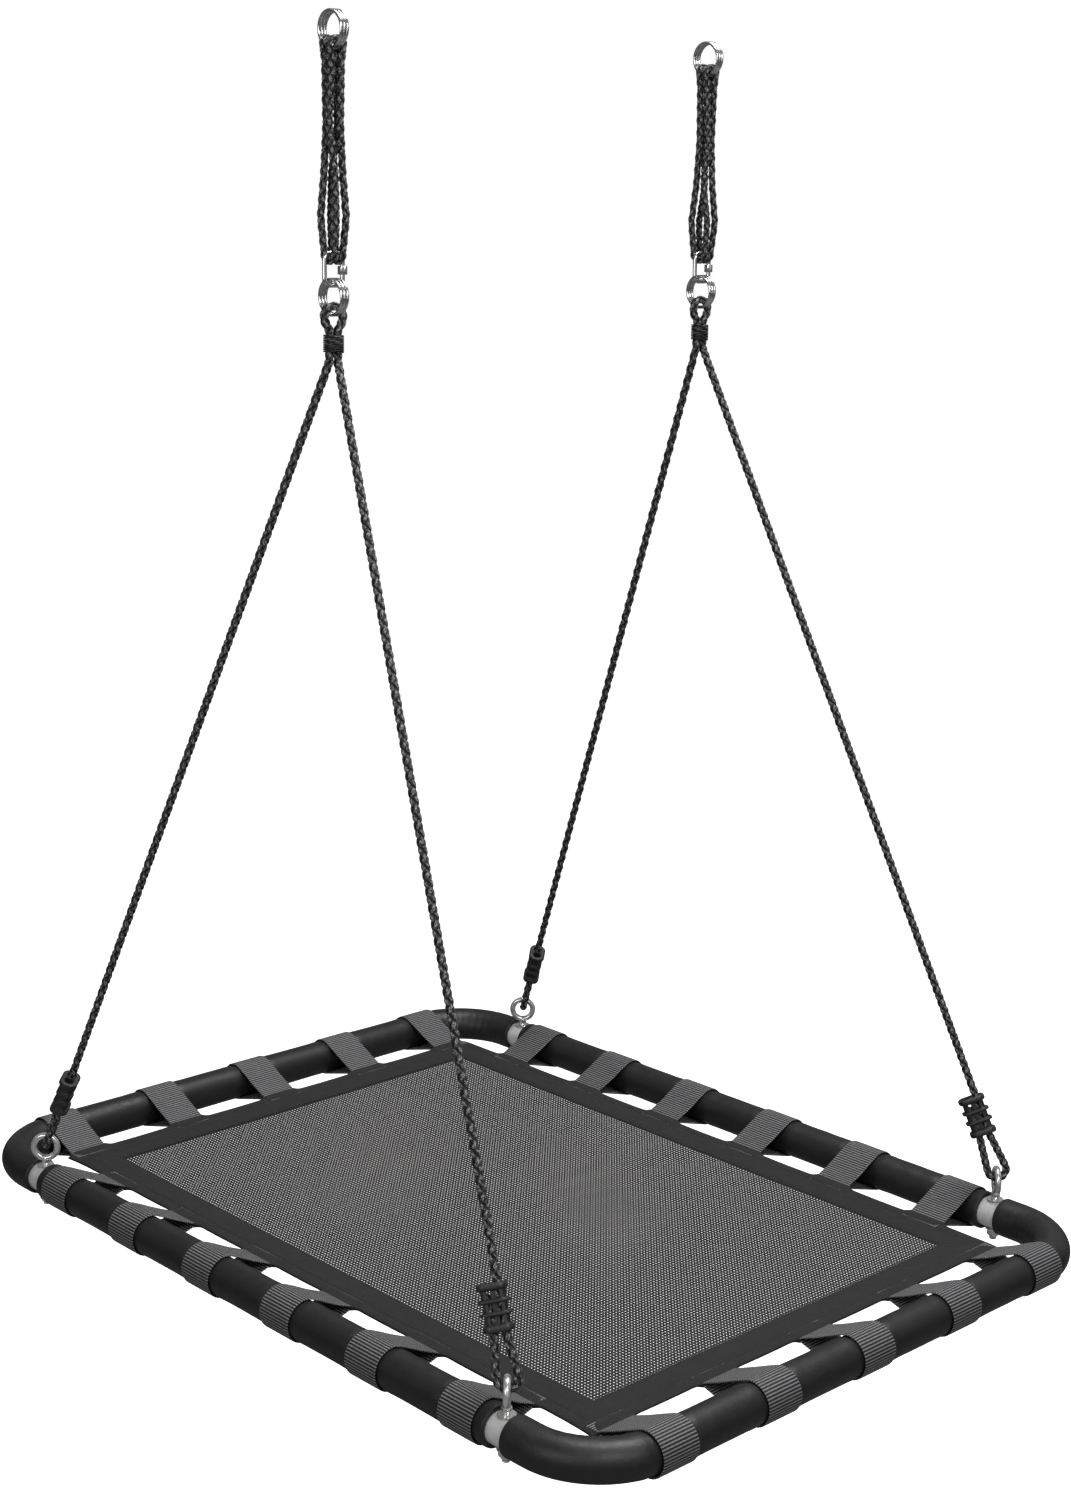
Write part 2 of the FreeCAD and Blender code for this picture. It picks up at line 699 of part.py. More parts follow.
def leg_points(side, end):
    """Corners of one leg from the whipping to the tail: main strand, loop through the eye, tail strand."""
    pivot, top = eye_pivot(side, end), leg_top(side, end)
    along, across, main, beside = leg_axes(side, end)
    mouth = top.sub(Vector(main).multiply((top.sub(pivot)).Length - size("adjuster_lift")))
    tail_mouth = mouth.sub(Vector(beside).multiply(size("adjuster_bore_gap")))
    tail_end = tail_mouth.add(Vector(main).multiply(size("tail_reach")))
    radius = (size("eye_wire") + size("rope_diameter")) / 2 + size("loop_play")

    def loop_corner(start, sense):
        """Corner under the eye where the run that touches the loop circle meets the level below it."""
        flat = Vector(start.sub(pivot).dot(across), start.sub(pivot).dot(along), 0)
        touch = tangent_point(Vector(0, 0, 0), radius, flat, sense > 0)
        share = (-radius - flat.y) / (touch.y - flat.y)
        reach = flat.x + (touch.x - flat.x) * share
        return pivot.add(Vector(across).multiply(reach)).sub(Vector(along).multiply(radius))

    corners = [top, mouth, loop_corner(mouth, 1), loop_corner(tail_mouth, -1), tail_mouth, tail_end]
    return corners, [KINK_RADIUS, KINK_RADIUS, radius, radius, KINK_RADIUS, 0.0]


def make_swing_rope(side):
    """One rope per long side: from a tail, up one leg, through the lower ring and down the other leg."""
    tag = SIDE_NAME[side]
    ring_inside = size("ring_diameter") / 2 - size("ring_wire")
    half_rope = size("rope_diameter") / 2
    spread = size("ring_spacing") + size("ring_wire") / 2 + size("rope_gap") + half_rope
    ring_y = side * size("hang_offset")
    crossing = size("lower_height") - ring_inside + half_rope + size("rope_gap")
    bend = spread - size("turn_ease")
    right_points, right_radii = leg_points(side, RIGHT)
    left_points, left_radii = leg_points(side, LEFT)
    low_bend = size("whipping_top") + size("whipping_rise")
    points = list(reversed(right_points))
    radii = list(reversed(right_radii))
    for end in (RIGHT, LEFT):
        leg_y = ring_y + end * spread
        held_y = leg_top(side, end).y
        climb = [
            (Vector(0, held_y, low_bend), bend),
            (Vector(0, leg_y, low_bend + size("fan_rise")), bend),
            (Vector(0, leg_y, crossing), bend),
        ]
        for point, radius in climb if end == RIGHT else reversed(climb):
            points.append(point)
            radii.append(radius)
    points += left_points
    radii += left_radii
    return rope_along(f"swing_rope_{tag}", rounded_path(points, radii), size("rope_diameter"))


def make_hanger_rope(side):
    """An endless rope doubled through the top ring and round the link's upper bar."""
    half_rope = size("hanger_diameter") / 2
    inside = size("ring_diameter") / 2 - size("ring_wire") - half_rope - size("rope_gap")
    pair = half_rope + STRAND_GAP
    spread = size("ring_spacing") + size("ring_wire") / 2 + size("rope_gap") + half_rope
    top_y, bottom_x = spread, size("link_wire") / 2 + half_rope + size("hanger_play")
    crossing = size("top_height") - math.sqrt(inside**2 - pair**2)
    upper_bar = link_heights()[1]
    turn_height = upper_bar - bottom_x
    ring_y = side * size("hang_offset")
    points, radii = [], []
    for across, along in ((1, 1), (-1, 1), (-1, -1), (1, -1)):
        upper = Vector(across * pair, ring_y + along * top_y, crossing)
        lower = Vector(across * bottom_x, ring_y + along * pair, turn_height)
        order = [(upper, top_y - HANGER_EASE), (lower, bottom_x)]
        if (across, along) in ((-1, 1), (1, -1)):
            order.reverse()
        for point, radius in order:
            points.append(point)
            radii.append(radius * BEND_MARGIN)
    path = rounded_path(points, radii, closed=True)
    return rope_along(f"hanger_rope_{SIDE_NAME[side]}", path, size("hanger_diameter"))


def make_whipping(side):
    """Tight binding round the two rope legs just under the lower ring."""
    tag = SIDE_NAME[side]
    foot = "Sizes.whipping_top - Sizes.whipping_length"
    shells, bores = [], []
    for end in (LEFT, RIGHT):
        place = {"y": str(leg_top(side, end).y), "z": foot}
        for group, part, radius in (
            (shells, "shell", "Sizes.rope_diameter / 2 + Sizes.whipping_wall"),
            (bores, "bore", "Sizes.rope_diameter / 2 + Sizes.slip / 5"),
        ):
            name = f"whipping_{part}_{tag}_{END_NAME[end]}"
            group.append(
                primitive("Cylinder", name, Radius=radius, Height="Sizes.whipping_length", **place)
            )
    shells.append(
        primitive(
            "Box",
            f"whipping_web_{tag}",
            Length="Sizes.rope_diameter + 2 * Sizes.whipping_wall",
            Width="Sizes.rope_diameter",
            Height="Sizes.whipping_length",
            x="-(Sizes.rope_diameter + 2 * Sizes.whipping_wall) / 2",
            y=f"{side} * Sizes.hang_offset - Sizes.rope_diameter / 2",
            z=foot,
        )
    )
    blank = fused(f"whipping_blank_{tag}", shells)
    keep(f"whipping_{tag}", cut(f"whipping_{tag}", blank, fused(f"whipping_bores_{tag}", bores)))


# ---------------------------------------------------------------- rope adjusters


def adjuster_block(name, width, depth, low, height, corner):
    """A block of the adjuster with rounded upright edges, in its own frame with the ropes along Z."""
    block = primitive(
        "Box",
        f"{name}_box",
        Length=width,
        Width=depth,
        Height=height,
        x=f"-({width}) / 2",
        y=f"-({depth}) / 2",
        z=low,
    )
    doc.recompute()
    rounded = doc.addObject("Part::Fillet", name)
    rounded.Base = block
    upright = [
        number
        for number, edge in enumerate(block.Shape.Edges, start=1)
        if abs(edge.tangentAt(edge.FirstParameter).z) > 0.9
    ]
    rounded.Edges = [(number, corner, corner) for number in upright]
    return rounded


def make_adjuster(side, end):
    """Moulded adjuster: two rope holes side by side, end flanges, ribs and shallow windows."""
    tag = f"{SIDE_NAME[side]}_{END_NAME[end]}"
    core_width = "Sizes.adjuster_bore_gap + Sizes.rope_diameter + 2 * Sizes.adjuster_cheek"
    core_depth = "Sizes.rope_diameter + 2 * Sizes.adjuster_face"
    ribs = int(size("rib_count"))
    top = "Sizes.adjuster_height - Sizes.flange_height"
    bay = f"(Sizes.adjuster_height - 2 * Sizes.flange_height - {ribs} * Sizes.rib_height) / {ribs + 1}"
    core_corner, flange_corner = size("core_corner"), size("flange_corner")
    blocks = [
        adjuster_block(
            f"core_{tag}", core_width, core_depth, "0", "Sizes.adjuster_height", core_corner
        )
    ]
    for part, low in (("foot", "0"), ("head", top)):
        blocks.append(
            adjuster_block(
                f"{part}_{tag}",
                "Sizes.adjuster_width",
                "Sizes.adjuster_depth",
                low,
                "Sizes.flange_height",
                flange_corner,
            )
        )
    for number in range(ribs):
        low = f"Sizes.flange_height + {number + 1} * {bay} + {number} * Sizes.rib_height"
        blocks.append(
            adjuster_block(
                f"rib_{number}_{tag}",
                "Sizes.adjuster_width",
                "Sizes.adjuster_depth - 2 * Sizes.rib_inset",
                low,
                "Sizes.rib_height",
                core_corner,
            )
        )
    tools = []
    for hole in (LEFT, RIGHT):
        tools.append(
            primitive(
                "Cylinder",
                f"rope_hole_{END_NAME[hole]}_{tag}",
                Radius="Sizes.rope_diameter / 2 + Sizes.slip",
                Height="Sizes.adjuster_height",
                x=f"{hole} * Sizes.adjuster_bore_gap / 2",
            )
        )
        for number in range(ribs + 1):
            tools.append(
                primitive(
                    "Box",
                    f"window_{END_NAME[hole]}_{number}_{tag}",
                    Length="Sizes.window_width",
                    Width="Sizes.window_depth",
                    Height=bay,
                    x="-Sizes.window_width / 2",
                    y=f"{hole} * ({core_depth} - Sizes.window_depth) / 2 - Sizes.window_depth / 2",
                    z=f"Sizes.flange_height + {number} * ({bay} + Sizes.rib_height)",
                )
            )
    body = fused(f"adjuster_blank_{tag}", blocks)
    adjuster = cut(f"adjuster_{tag}", body, fused(f"adjuster_tools_{tag}", tools))
    main, beside = leg_axes(side, end)[2:]
    mouth = leg_points(side, end)[0][1]
    between = Vector(beside).multiply(size("adjuster_bore_gap") / 2)
    foot = mouth.sub(between).add(Vector(main).multiply(size("adjuster_start")))
    adjuster.Placement = Placement(foot, Rotation(beside, main.cross(beside), main, "ZXY"))
    return keep(f"adjuster_{tag}", adjuster)


# ---------------------------------------------------------------- whole swing


def check_document():
    """Stops if any object failed to compute or any sub-part is empty, open or invalid."""
    for item in doc.Objects:
        if any(word in item.State for word in ("Invalid", "Error")):
            raise RuntimeError(f"{item.Name} did not compute: {item.State}")
    for name, item in nodes.items():
        shape = item.Shape
        if shape.isNull() or not shape.isValid() or not shape.Solids or shape.Volume <= 0:
            raise RuntimeError(f"{name} has no valid solid")


make_frame()
make_bolts()
make_mat()
make_straps()
for side in (FRONT, BACK):
    ring_set(f"top_ring_{SIDE_NAME[side]}", side, "Sizes.top_height")
    ring_set(f"lower_ring_{SIDE_NAME[side]}", side, "Sizes.lower_height")
    make_hanger_rope(side)
    make_link(side)
    make_swing_rope(side)
    make_whipping(side)
    for end in (LEFT, RIGHT):
        make_adjuster(side, end)
doc.recompute()
check_document()

os.makedirs("parts", exist_ok=True)
for name, item in sorted(nodes.items()):
    item.Shape.exportStep(f"parts/{name}.step")
    print(f"{name}: {len(item.Shape.Solids)} solids, {item.Shape.Volume / 1000:.1f} cm3")
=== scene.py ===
import math
import random

import bpy
import numpy as np
from mathutils import Matrix, Vector


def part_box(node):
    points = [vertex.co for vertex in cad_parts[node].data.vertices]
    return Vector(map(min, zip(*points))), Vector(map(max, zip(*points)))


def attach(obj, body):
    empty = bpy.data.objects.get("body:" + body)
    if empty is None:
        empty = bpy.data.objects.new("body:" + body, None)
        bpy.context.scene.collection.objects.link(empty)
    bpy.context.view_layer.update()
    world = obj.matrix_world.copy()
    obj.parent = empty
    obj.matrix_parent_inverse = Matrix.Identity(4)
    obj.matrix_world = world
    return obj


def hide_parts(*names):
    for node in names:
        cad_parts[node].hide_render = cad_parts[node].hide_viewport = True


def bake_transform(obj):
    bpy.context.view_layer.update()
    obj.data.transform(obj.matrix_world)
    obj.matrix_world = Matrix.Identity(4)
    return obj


# Platform swing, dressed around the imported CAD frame. Lengths are millimetres until a mesh is made.
# "front" is the -Y long side, "right" the +X short side, and the mat's upper face is at height 0.

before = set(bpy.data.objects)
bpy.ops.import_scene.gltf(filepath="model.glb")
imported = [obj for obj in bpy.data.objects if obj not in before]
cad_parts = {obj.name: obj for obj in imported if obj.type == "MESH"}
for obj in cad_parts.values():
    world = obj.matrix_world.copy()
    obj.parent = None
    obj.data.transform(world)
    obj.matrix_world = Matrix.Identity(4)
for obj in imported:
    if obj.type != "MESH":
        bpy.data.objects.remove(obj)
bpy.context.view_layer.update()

MM = 0.001
FRONT, BACK = SIDES = -1, 1
LEFT, RIGHT = ENDS = -1, 1
CORNERS = [(side, end) for side in SIDES for end in ENDS]
QUARTERS = ((1, 1), (-1, 1), (-1, -1), (1, -1))  # signs of x and y, in turning order
SIDE_NAME = {FRONT: "front", BACK: "back"}
END_NAME = {LEFT: "left", RIGHT: "right"}
CLOTH_UV, BAKE_UV = "Cloth", "OFBake"
STRIP_ROWS, STRIP_GAP = 64, 0.03  # rings in one strip of the bake UV, and the gap round it
SEED = 7


def low(node):
    """Lowest corner of a CAD node, in millimetres."""
    return np.array(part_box(node)[0]) / MM


def high(node):
    """Highest corner of a CAD node, in millimetres."""
    return np.array(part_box(node)[1]) / MM


def middle(node):
    """Middle of a CAD node's box, in millimetres."""
    return (high(node) + low(node)) / 2


# ---------------------------------------------------------------- sizes

FOAM_R = (high("foam_front")[2] - low("foam_front")[2]) / 2
RAIL_X = high("foam_right")[0] - FOAM_R
RAIL_Y = high("foam_back")[1] - FOAM_R
RAIL_Z = high("foam_front")[2] - FOAM_R
BEND_R = 78.0
TUBE_R = (high("side_tube_front")[2] - low("side_tube_front")[2]) / 2
FOAM_END = high("foam_front")[0]
CORNER_FOAM_START = low("foam_right")[0]
BOLT_X = (FOAM_END + CORNER_FOAM_START) / 2

EYE_HOLE, EYE_WIRE = 19.0, 7.0
EYE_R = (EYE_HOLE + EYE_WIRE) / 2
EYE_Z = high("eye_bolts")[2] - EYE_R - EYE_WIRE / 2
EYE_TURN = math.radians(45.0)
BOLT_R = 4.0
WASHER_R, WASHER_T = 9.0, 1.6
NUT_WIDTH, NUT_HEIGHT, COLLAR_HEIGHT, COLLAR_R = 13.0, 6.0, 2.2, 5.5
THREAD_PITCH, THREAD_CREST_R, THREAD_ROOT_R = 1.25, 3.95, 3.45

MAT_X, MAT_Y = high("mat_border")[0], high("mat_border")[1]
BORDER = 45.0
BORDER_TOP, BORDER_FOOT = high("mat_border")[2], low("mat_border")[2]
OPEN_X, OPEN_Y = MAT_X - BORDER, MAT_Y - BORDER
MAT_MIDDLE = (BORDER_TOP + BORDER_FOOT) / 2
MESH_PITCH = 4.2
MAT_SAG = 6.0

STRAP_WIDTH, STRAP_T, STRAP_TAB = 45.0, 1.6, 14.0
STRAPS_LONG, STRAPS_SHORT = 6, 5
STRAP_INNER_R = high("straps_back")[1] - RAIL_Y - STRAP_T
RIB_PITCH, RIB_DEPTH = 3.1, 0.65
BORDER_LAP, STRAP_SPLIT = 3.5, 0.5

RING_Y, TOP_Z = middle("top_ring_back")[1:]
LOWER_Z = middle("lower_ring_back")[2]
RING_OD, RING_WIRE, RING_PITCH = 36.0, 3.6, 3.7
RING_DRAWN = 2.9
LINK_WIRE, LINK_CORNER, LINK_MOUTH = 4.5, 6.0, 4.0
LINK_TOP = high("link_back")[2] - LINK_WIRE / 2
LINK_FOOT = low("link_back")[2] + LINK_WIRE / 2
LINK_HALF = (high("link_back")[1] - low("link_back")[1] - LINK_WIRE) / 2
SLEEVE_WIDTH = 8.0

ROPE_R, HANGER_R, ROPE_GAP = 4.75, 4.0, 0.8
KINK_R = 30.0
WHIP_TOP, WHIP_FOOT = high("whipping_front")[2], low("whipping_front")[2]
LEG_TOP_Z = WHIP_FOOT - 7.0
ADJ_LIFT, ADJ_GAP, ADJ_START = 38.0, 11.2, 2.0
ADJ_HEIGHT, ADJ_WIDTH, ADJ_DEPTH = 43.0, 29.0, 20.0
FLANGE, RIB, RIBS = 6.0, 2.6, 2
WINDOW_WIDTH, WINDOW_DEPTH, WINDOW_CORNER, WINDOW_EDGE = 12.0, 5.4, 0.9, 0.7
TOUCH = 0.05  # clearance that keeps touching parts apart
CROSSING = 16.0  # cloth length between two crossings of a rope's strands

# ---------------------------------------------------------------- mesh tools


def unit(vector):
    """Vectors of length one."""
    vector = np.asarray(vector, float)
    return vector / np.linalg.norm(vector, axis=-1, keepdims=True)


def full_turn(count):
    """Angles of evenly spaced points round a circle."""
    return np.linspace(0, 2 * math.pi, count, endpoint=False)


def turned(x, y, angle):
    """Places turned about the upright axis."""
    return x * math.cos(angle) - y * math.sin(angle), x * math.sin(angle) + y * math.cos(angle)


def level_ring(radius, height, count):
    """Points round an upright axis, at one radius or one radius for each point."""
    turn = full_turn(count)
    return np.stack([radius * np.cos(turn), radius * np.sin(turn), np.full(count, height)], 1)


class Skin:
    """Closed skins collected into one mesh, with a cloth UV in millimetres and a packed UV for baking."""

    def __init__(self):
        self.points, self.faces, self.cloth, self.strips = [], [], [], []
        self.point_count = self.strip_count = 0

    def loft(self, rings, closed=False, v=None, u=None):
        """Joins rings of equal size with quads and closes the two ends."""
        rings = np.asarray(rings, float)
        rows, sides = rings.shape[:2]
        steps = rows if closed else rows - 1
        points = rings.reshape(-1, 3)
        u = np.linspace(0, 1, sides + 1) if u is None else np.asarray(u, float)
        v = np.arange(rows + 1.0) if v is None else np.append(v, 2 * v[-1] - v[-2])
        i, j = np.meshgrid(np.arange(steps), np.arange(sides), indexing="ij")
        row = np.stack([i, i, i + 1, i + 1], -1).reshape(-1, 4)
        side = np.stack([j, j + 1, j + 1, j], -1).reshape(-1, 4)
        quads = (row % rows) * sides + side % sides
        ends = [] if closed else [(0, np.arange(sides)[::-1]), (rows - 1, np.arange(sides))]
        corners = points[quads]
        facing = np.cross(corners[:, 2] - corners[:, 0], corners[:, 3] - corners[:, 1])
        if np.einsum("ij,ij->", facing, corners[:, 0] - points.mean(0)) < 0:
            quads, row, side = quads[:, ::-1], row[:, ::-1], side[:, ::-1]
            ends = [(at, order[::-1]) for at, order in ends]
        strip = np.repeat(row.min(1, keepdims=True) // STRIP_ROWS, 4, 1)
        self.faces += (quads + self.point_count).tolist()
        self.cloth.append(np.stack([u[side], v[row]], -1).reshape(-1, 2))
        self.strips.append(self.packed(strip, side / sides, row))
        for at, order in ends:
            home = np.full(sides, min(at, steps - 1) // STRIP_ROWS)
            self.faces.append((at * sides + order + self.point_count).tolist())
            self.cloth.append(np.stack([u[order], np.full(sides, v[at])], -1))
            self.strips.append(self.packed(home, order / sides, np.full(sides, at)))
        self.points.append(points)
        self.point_count += len(points)
        self.strip_count += (steps - 1) // STRIP_ROWS + 1
        return self

    def packed(self, strip, across, row):
        """Strip number and place within the strip, for each face corner."""
        along = (row - strip * STRIP_ROWS) / STRIP_ROWS
        return np.stack([self.strip_count + strip, across, along], -1).reshape(-1, 3)

    def mesh(self, name, packed=True):
        mesh = bpy.data.meshes.new(name)
        mesh.from_pydata(np.concatenate(self.points) * MM, [], self.faces)
        cloth = mesh.uv_layers.new(name=CLOTH_UV)
        cloth.data.foreach_set("uv", np.concatenate(self.cloth).ravel().astype(np.float32))
        if packed:
            strip, across, along = np.concatenate(self.strips).T
            grid = math.ceil(math.sqrt(self.strip_count))
            room = 1 - 2 * STRIP_GAP
            place_u = (strip % grid + STRIP_GAP + room * across) / grid
            place_v = (strip // grid + STRIP_GAP + room * along) / grid
            layer = mesh.uv_layers.new(name=BAKE_UV)
            layer.data.foreach_set("uv", np.stack([place_u, place_v], -1).ravel().astype(np.float32))
        mesh.polygons.foreach_set("use_smooth", np.ones(len(mesh.polygons), bool))
        mesh.update()
        return mesh


def add_object(name, mesh, material):
    """Puts a mesh into the scene in one material."""
    item = bpy.data.objects.new(name, mesh)
    bpy.context.scene.collection.objects.link(item)
    mesh.materials.clear()
    mesh.materials.append(material)
    return item


def add_piece(name, shape, material, body, slot, *nodes):
    """A visible piece in its material, with its body and the CAD nodes that it stands for; the slot argument
    is not used.
    """
    mesh = shape.mesh(name) if isinstance(shape, Skin) else shape
    item = add_object(name, mesh, MATERIALS[material])
    if body:
        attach(item, body)
    if nodes:
        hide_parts(*nodes)
    return item


def lengths(path):
    """Distance from the start at each point of a path."""
    return np.append(0, np.cumsum(np.linalg.norm(np.diff(path, axis=0), axis=1)))


def places_on(path, stations):
    """Places on a path at distances from its start."""
    reach = lengths(path)
    return np.stack([np.interp(stations, reach, path[:, axis]) for axis in range(3)], 1)


def respace(path, step):
    """The same line with even spacing."""
    total = lengths(path)[-1]
    return places_on(path, np.linspace(0, total, max(2, round(total / step)) + 1))


def rounded(points, radii, step, closed=False):
    """Evenly spaced points along a line whose corners are rounded to their radii."""
    points = [np.asarray(point, float) for point in points]
    trail = []
    for index, corner in enumerate(points):
        if not closed and index in (0, len(points) - 1):
            trail.append(corner[None])
            continue
        before = unit(points[index - 1] - corner)
        after = unit(points[(index + 1) % len(points)] - corner)
        half = math.acos(float(np.clip(before @ after, -1, 1))) / 2
        centre = corner + unit(before + after) * radii[index] / math.sin(half)
        start = corner + before * radii[index] / math.tan(half) - centre
        finish = corner + after * radii[index] / math.tan(half) - centre
        sweep = math.pi - 2 * half
        share = np.linspace(0, 1, 3 + int(4 * sweep * radii[index] / step))[:, None]
        arc = np.sin((1 - share) * sweep) * start + np.sin(share * sweep) * finish
        trail.append(centre + arc / math.sin(sweep))
    trail = np.concatenate(trail + ([trail[0][:1]] if closed else []))
    line = respace(trail, step)
    return line[:-1] if closed else line


def headings(path, closed):
    """Direction of travel at each point of a path."""
    ahead = np.roll(path, -1, 0) - np.roll(path, 1, 0)
    if not closed:
        ahead[0], ahead[-1] = path[1] - path[0], path[-1] - path[-2]
    return unit(ahead)


def directions(path, closed):
    """Tangents along a path, and normals that turn as little as possible."""
    tangents = headings(path, closed)
    normal = unit(np.cross(tangents[0], (0.3, 0.5, 0.81)))
    normals = []
    for tangent in tangents:
        normal = unit(normal - tangent * (normal @ tangent))
        normals.append(normal)
    normals = np.array(normals)
    across = np.cross(tangents, normals)
    if closed:
        last = unit(normal - tangents[0] * (normal @ tangents[0]))
        slip = math.atan2(last @ across[0], last @ normals[0])
        back = -slip * np.arange(len(path)) / len(path)
        cosine, sine = np.cos(back)[:, None], np.sin(back)[:, None]
        normals, across = normals * cosine + across * sine, across * cosine - normals * sine
    return tangents, normals, across


def tube(skin, path, radius, sides, closed=False):
    """A round wire or hose along a path, whose radius may vary."""
    _, normals, across = directions(path, closed)
    turn = full_turn(sides)[None, :, None]
    radius = np.broadcast_to(np.asarray(radius, float), (len(path),))[:, None, None]
    rings = path[:, None] + radius * (np.cos(turn) * normals[:, None] + np.sin(turn) * across[:, None])
    return skin.loft(rings, closed, v=lengths(path), u=np.linspace(0, 1, sides + 1))


def lathe(skin, profile, sides=32, centre=(0, 0, 0)):
    """A turned shape: (radius, height) pairs round an upright axis."""
    rings = [level_ring(radius, height, sides) for radius, height in profile]
    return skin.loft(np.array(rings) + np.asarray(centre, float))


def sharpen(mesh, degrees=35.0):
    """Smooth shading with crisp edges above an angle."""
    mesh.set_sharp_from_angle(angle=math.radians(degrees))
    return mesh


def carve(item, skin, operation):
    """Joins a closed skin to a piece or cuts it out of the piece."""
    cutter = add_object("cutter", skin.mesh("cutter", packed=False), item.data.materials[0])
    step = item.modifiers.new("carve", "BOOLEAN")
    step.operation = operation
    step.solver = "EXACT"
    step.object = cutter
    graph = bpy.context.evaluated_depsgraph_get()
    mesh = bpy.data.meshes.new_from_object(item.evaluated_get(graph))
    item.modifiers.clear()
    item.data = mesh
    bpy.data.objects.remove(cutter)
    return item


# ---------------------------------------------------------------- materials

WAVE_UNIT = 3.18  # a Wave texture of scale 1 has about this many bands to a unit


class Finish:
    """A procedural material, built up node by node. Texture scales are per millimetre."""

    def __init__(self, name, colour, roughness, metallic=0.0, **inputs):
        self.material = bpy.data.materials.new(name)
        self.material.use_nodes = True
        self.nodes = self.material.node_tree.nodes
        self.links = self.material.node_tree.links
        self.shader = self.nodes["Principled BSDF"]
        self.colour = colour
        self.height = None
        inputs.update(Base_Color=(*colour, 1.0), Roughness=roughness, Metallic=metallic)
        for socket, value in inputs.items():
            self.plug(self.shader.inputs[socket.replace("_", " ")], value)

    def plug(self, target, value):
        """A number, a colour or another node's output into an input."""
        if hasattr(value, "is_output"):
            self.links.new(value, target)
        else:
            target.default_value = value

    def make(self, kind, inputs=None, output=0, **settings):
        """A node with its inputs and settings; returns one of its outputs."""
        node = self.nodes.new(kind)
        for key, value in settings.items():
            setattr(node, key, value)
        for key, value in (inputs or {}).items():
            self.plug(node.inputs[key], value)
        return node.outputs[output]

    def space(self, stretch=(1, 1, 1), uv=False):
        """Coordinates in millimetres, of the object or of the cloth itself."""
        if uv:
            source = self.make("ShaderNodeUVMap", uv_map=CLOTH_UV)
        else:
            source = self.make("ShaderNodeTexCoord", output="Object")
            stretch = tuple(value / MM for value in stretch)
        return self.make("ShaderNodeMapping", {"Vector": source, "Scale": stretch})

    def noise(self, scale, detail, stretch=(1, 1, 1), uv=False):
        inputs = {"Vector": self.space(stretch, uv), "Scale": scale, "Detail": detail, "Roughness": 0.55}
        return self.make("ShaderNodeTexNoise", inputs)

    def cells(self, scale):
        inputs = {"Vector": self.space(), "Scale": scale}
        return self.make("ShaderNodeTexVoronoi", inputs, output="Distance")

    def wave(self, scale, direction="X", stretch=(1, 1, 1), uv=False, distortion=0.0):
        """Bands, one for each millimetre over scale."""
        inputs = {"Scale": scale / WAVE_UNIT, "Distortion": distortion, "Detail": 1.0}
        inputs["Vector"] = self.space(stretch, uv)
        return self.make("ShaderNodeTexWave", inputs, output="Fac", bands_direction=direction)

    def crests(self, axis, period, at):
        """1 at a place in every period along a cloth axis, falling smoothly to 0 halfway between."""
        cloth = self.make("ShaderNodeUVMap", uv_map=CLOTH_UV)
        place_on_axis = self.make("ShaderNodeSeparateXYZ", {"Vector": cloth}, output=axis)
        turn = self.maths("MULTIPLY", self.maths("SUBTRACT", place_on_axis, at), 2 * math.pi / period)
        return self.reshape(self.maths("COSINE", turn, 0.0), -1.0, 1.0, 0.0, 1.0)

    def reshape(self, value, low_in, high_in, low_out, high_out):
        """A value's range stretched to another one and held inside it."""
        inputs = {0: value, 1: low_in, 2: high_in, 3: low_out, 4: high_out}
        return self.make("ShaderNodeMapRange", inputs)

    def maths(self, operation, a, b):
        return self.make("ShaderNodeMath", {0: a, 1: b}, operation=operation)

    def tint(self, share, dark, bright):
        """Base colour that runs between two strengths of the material's own colour."""
        inputs = {"Factor": share}
        for socket, factor in ((6, dark), (7, bright)):
            inputs[socket] = (*(min(1.0, part * factor) for part in self.colour), 1.0)
        mixed = self.make("ShaderNodeMix", inputs, output=2, data_type="RGBA")
        self.plug(self.shader.inputs["Base Color"], mixed)

    def rough(self, share, smooth, coarse):
        """Roughness that runs between two values where a noise is low and high."""
        self.plug(self.shader.inputs["Roughness"], self.reshape(share, 0.3, 0.7, smooth, coarse))

    def see_through_from_behind(self):
        """Leaves the back of the faces clear."""
        clear = self.make("ShaderNodeBsdfTransparent")
        behind = self.make("ShaderNodeNewGeometry", output="Backfacing")
        mixed = self.make("ShaderNodeMixShader", {0: behind, 1: self.shader.outputs[0], 2: clear})
        self.links.new(mixed, self.nodes["Material Output"].inputs["Surface"])

    def bump(self, height, depth):
        """Adds relief of a depth in millimetres, over the relief that is there."""
        inputs = {"Height": height, "Distance": depth * MM, "Strength": 1.0}
        if self.height is not None:
            inputs["Normal"] = self.height
        self.height = self.make("ShaderNodeBump", inputs)
        self.plug(self.shader.inputs["Normal"], self.height)


def foam_finish():
    """Closed-cell foam: matt skin with fine pores, faint creases and dusty highlights."""
    finish = Finish("foam_skin", (0.011, 0.011, 0.0115), 0.46, Specular_IOR_Level=0.5)
    finish.tint(finish.noise(0.02, 3), 0.75, 1.3)
    finish.rough(finish.noise(0.11, 4), 0.38, 0.54)
    finish.bump(finish.noise(0.3, 4), 0.22)
    finish.bump(finish.cells(2.0), 0.06)
    return finish.material


def steel_finish(name, colour, roughness, metallic, streak, depth=0.02):
    """Plated or bare steel with drawn streaks and soft stains."""
    finish = Finish(name, colour, roughness, metallic)
    lines = finish.noise(1.2, 5, streak)
    finish.tint(finish.noise(0.14, 5), 0.62, 1.12)
    finish.rough(lines, roughness * 0.75, roughness * 1.35)
    finish.bump(lines, depth)
    return finish.material


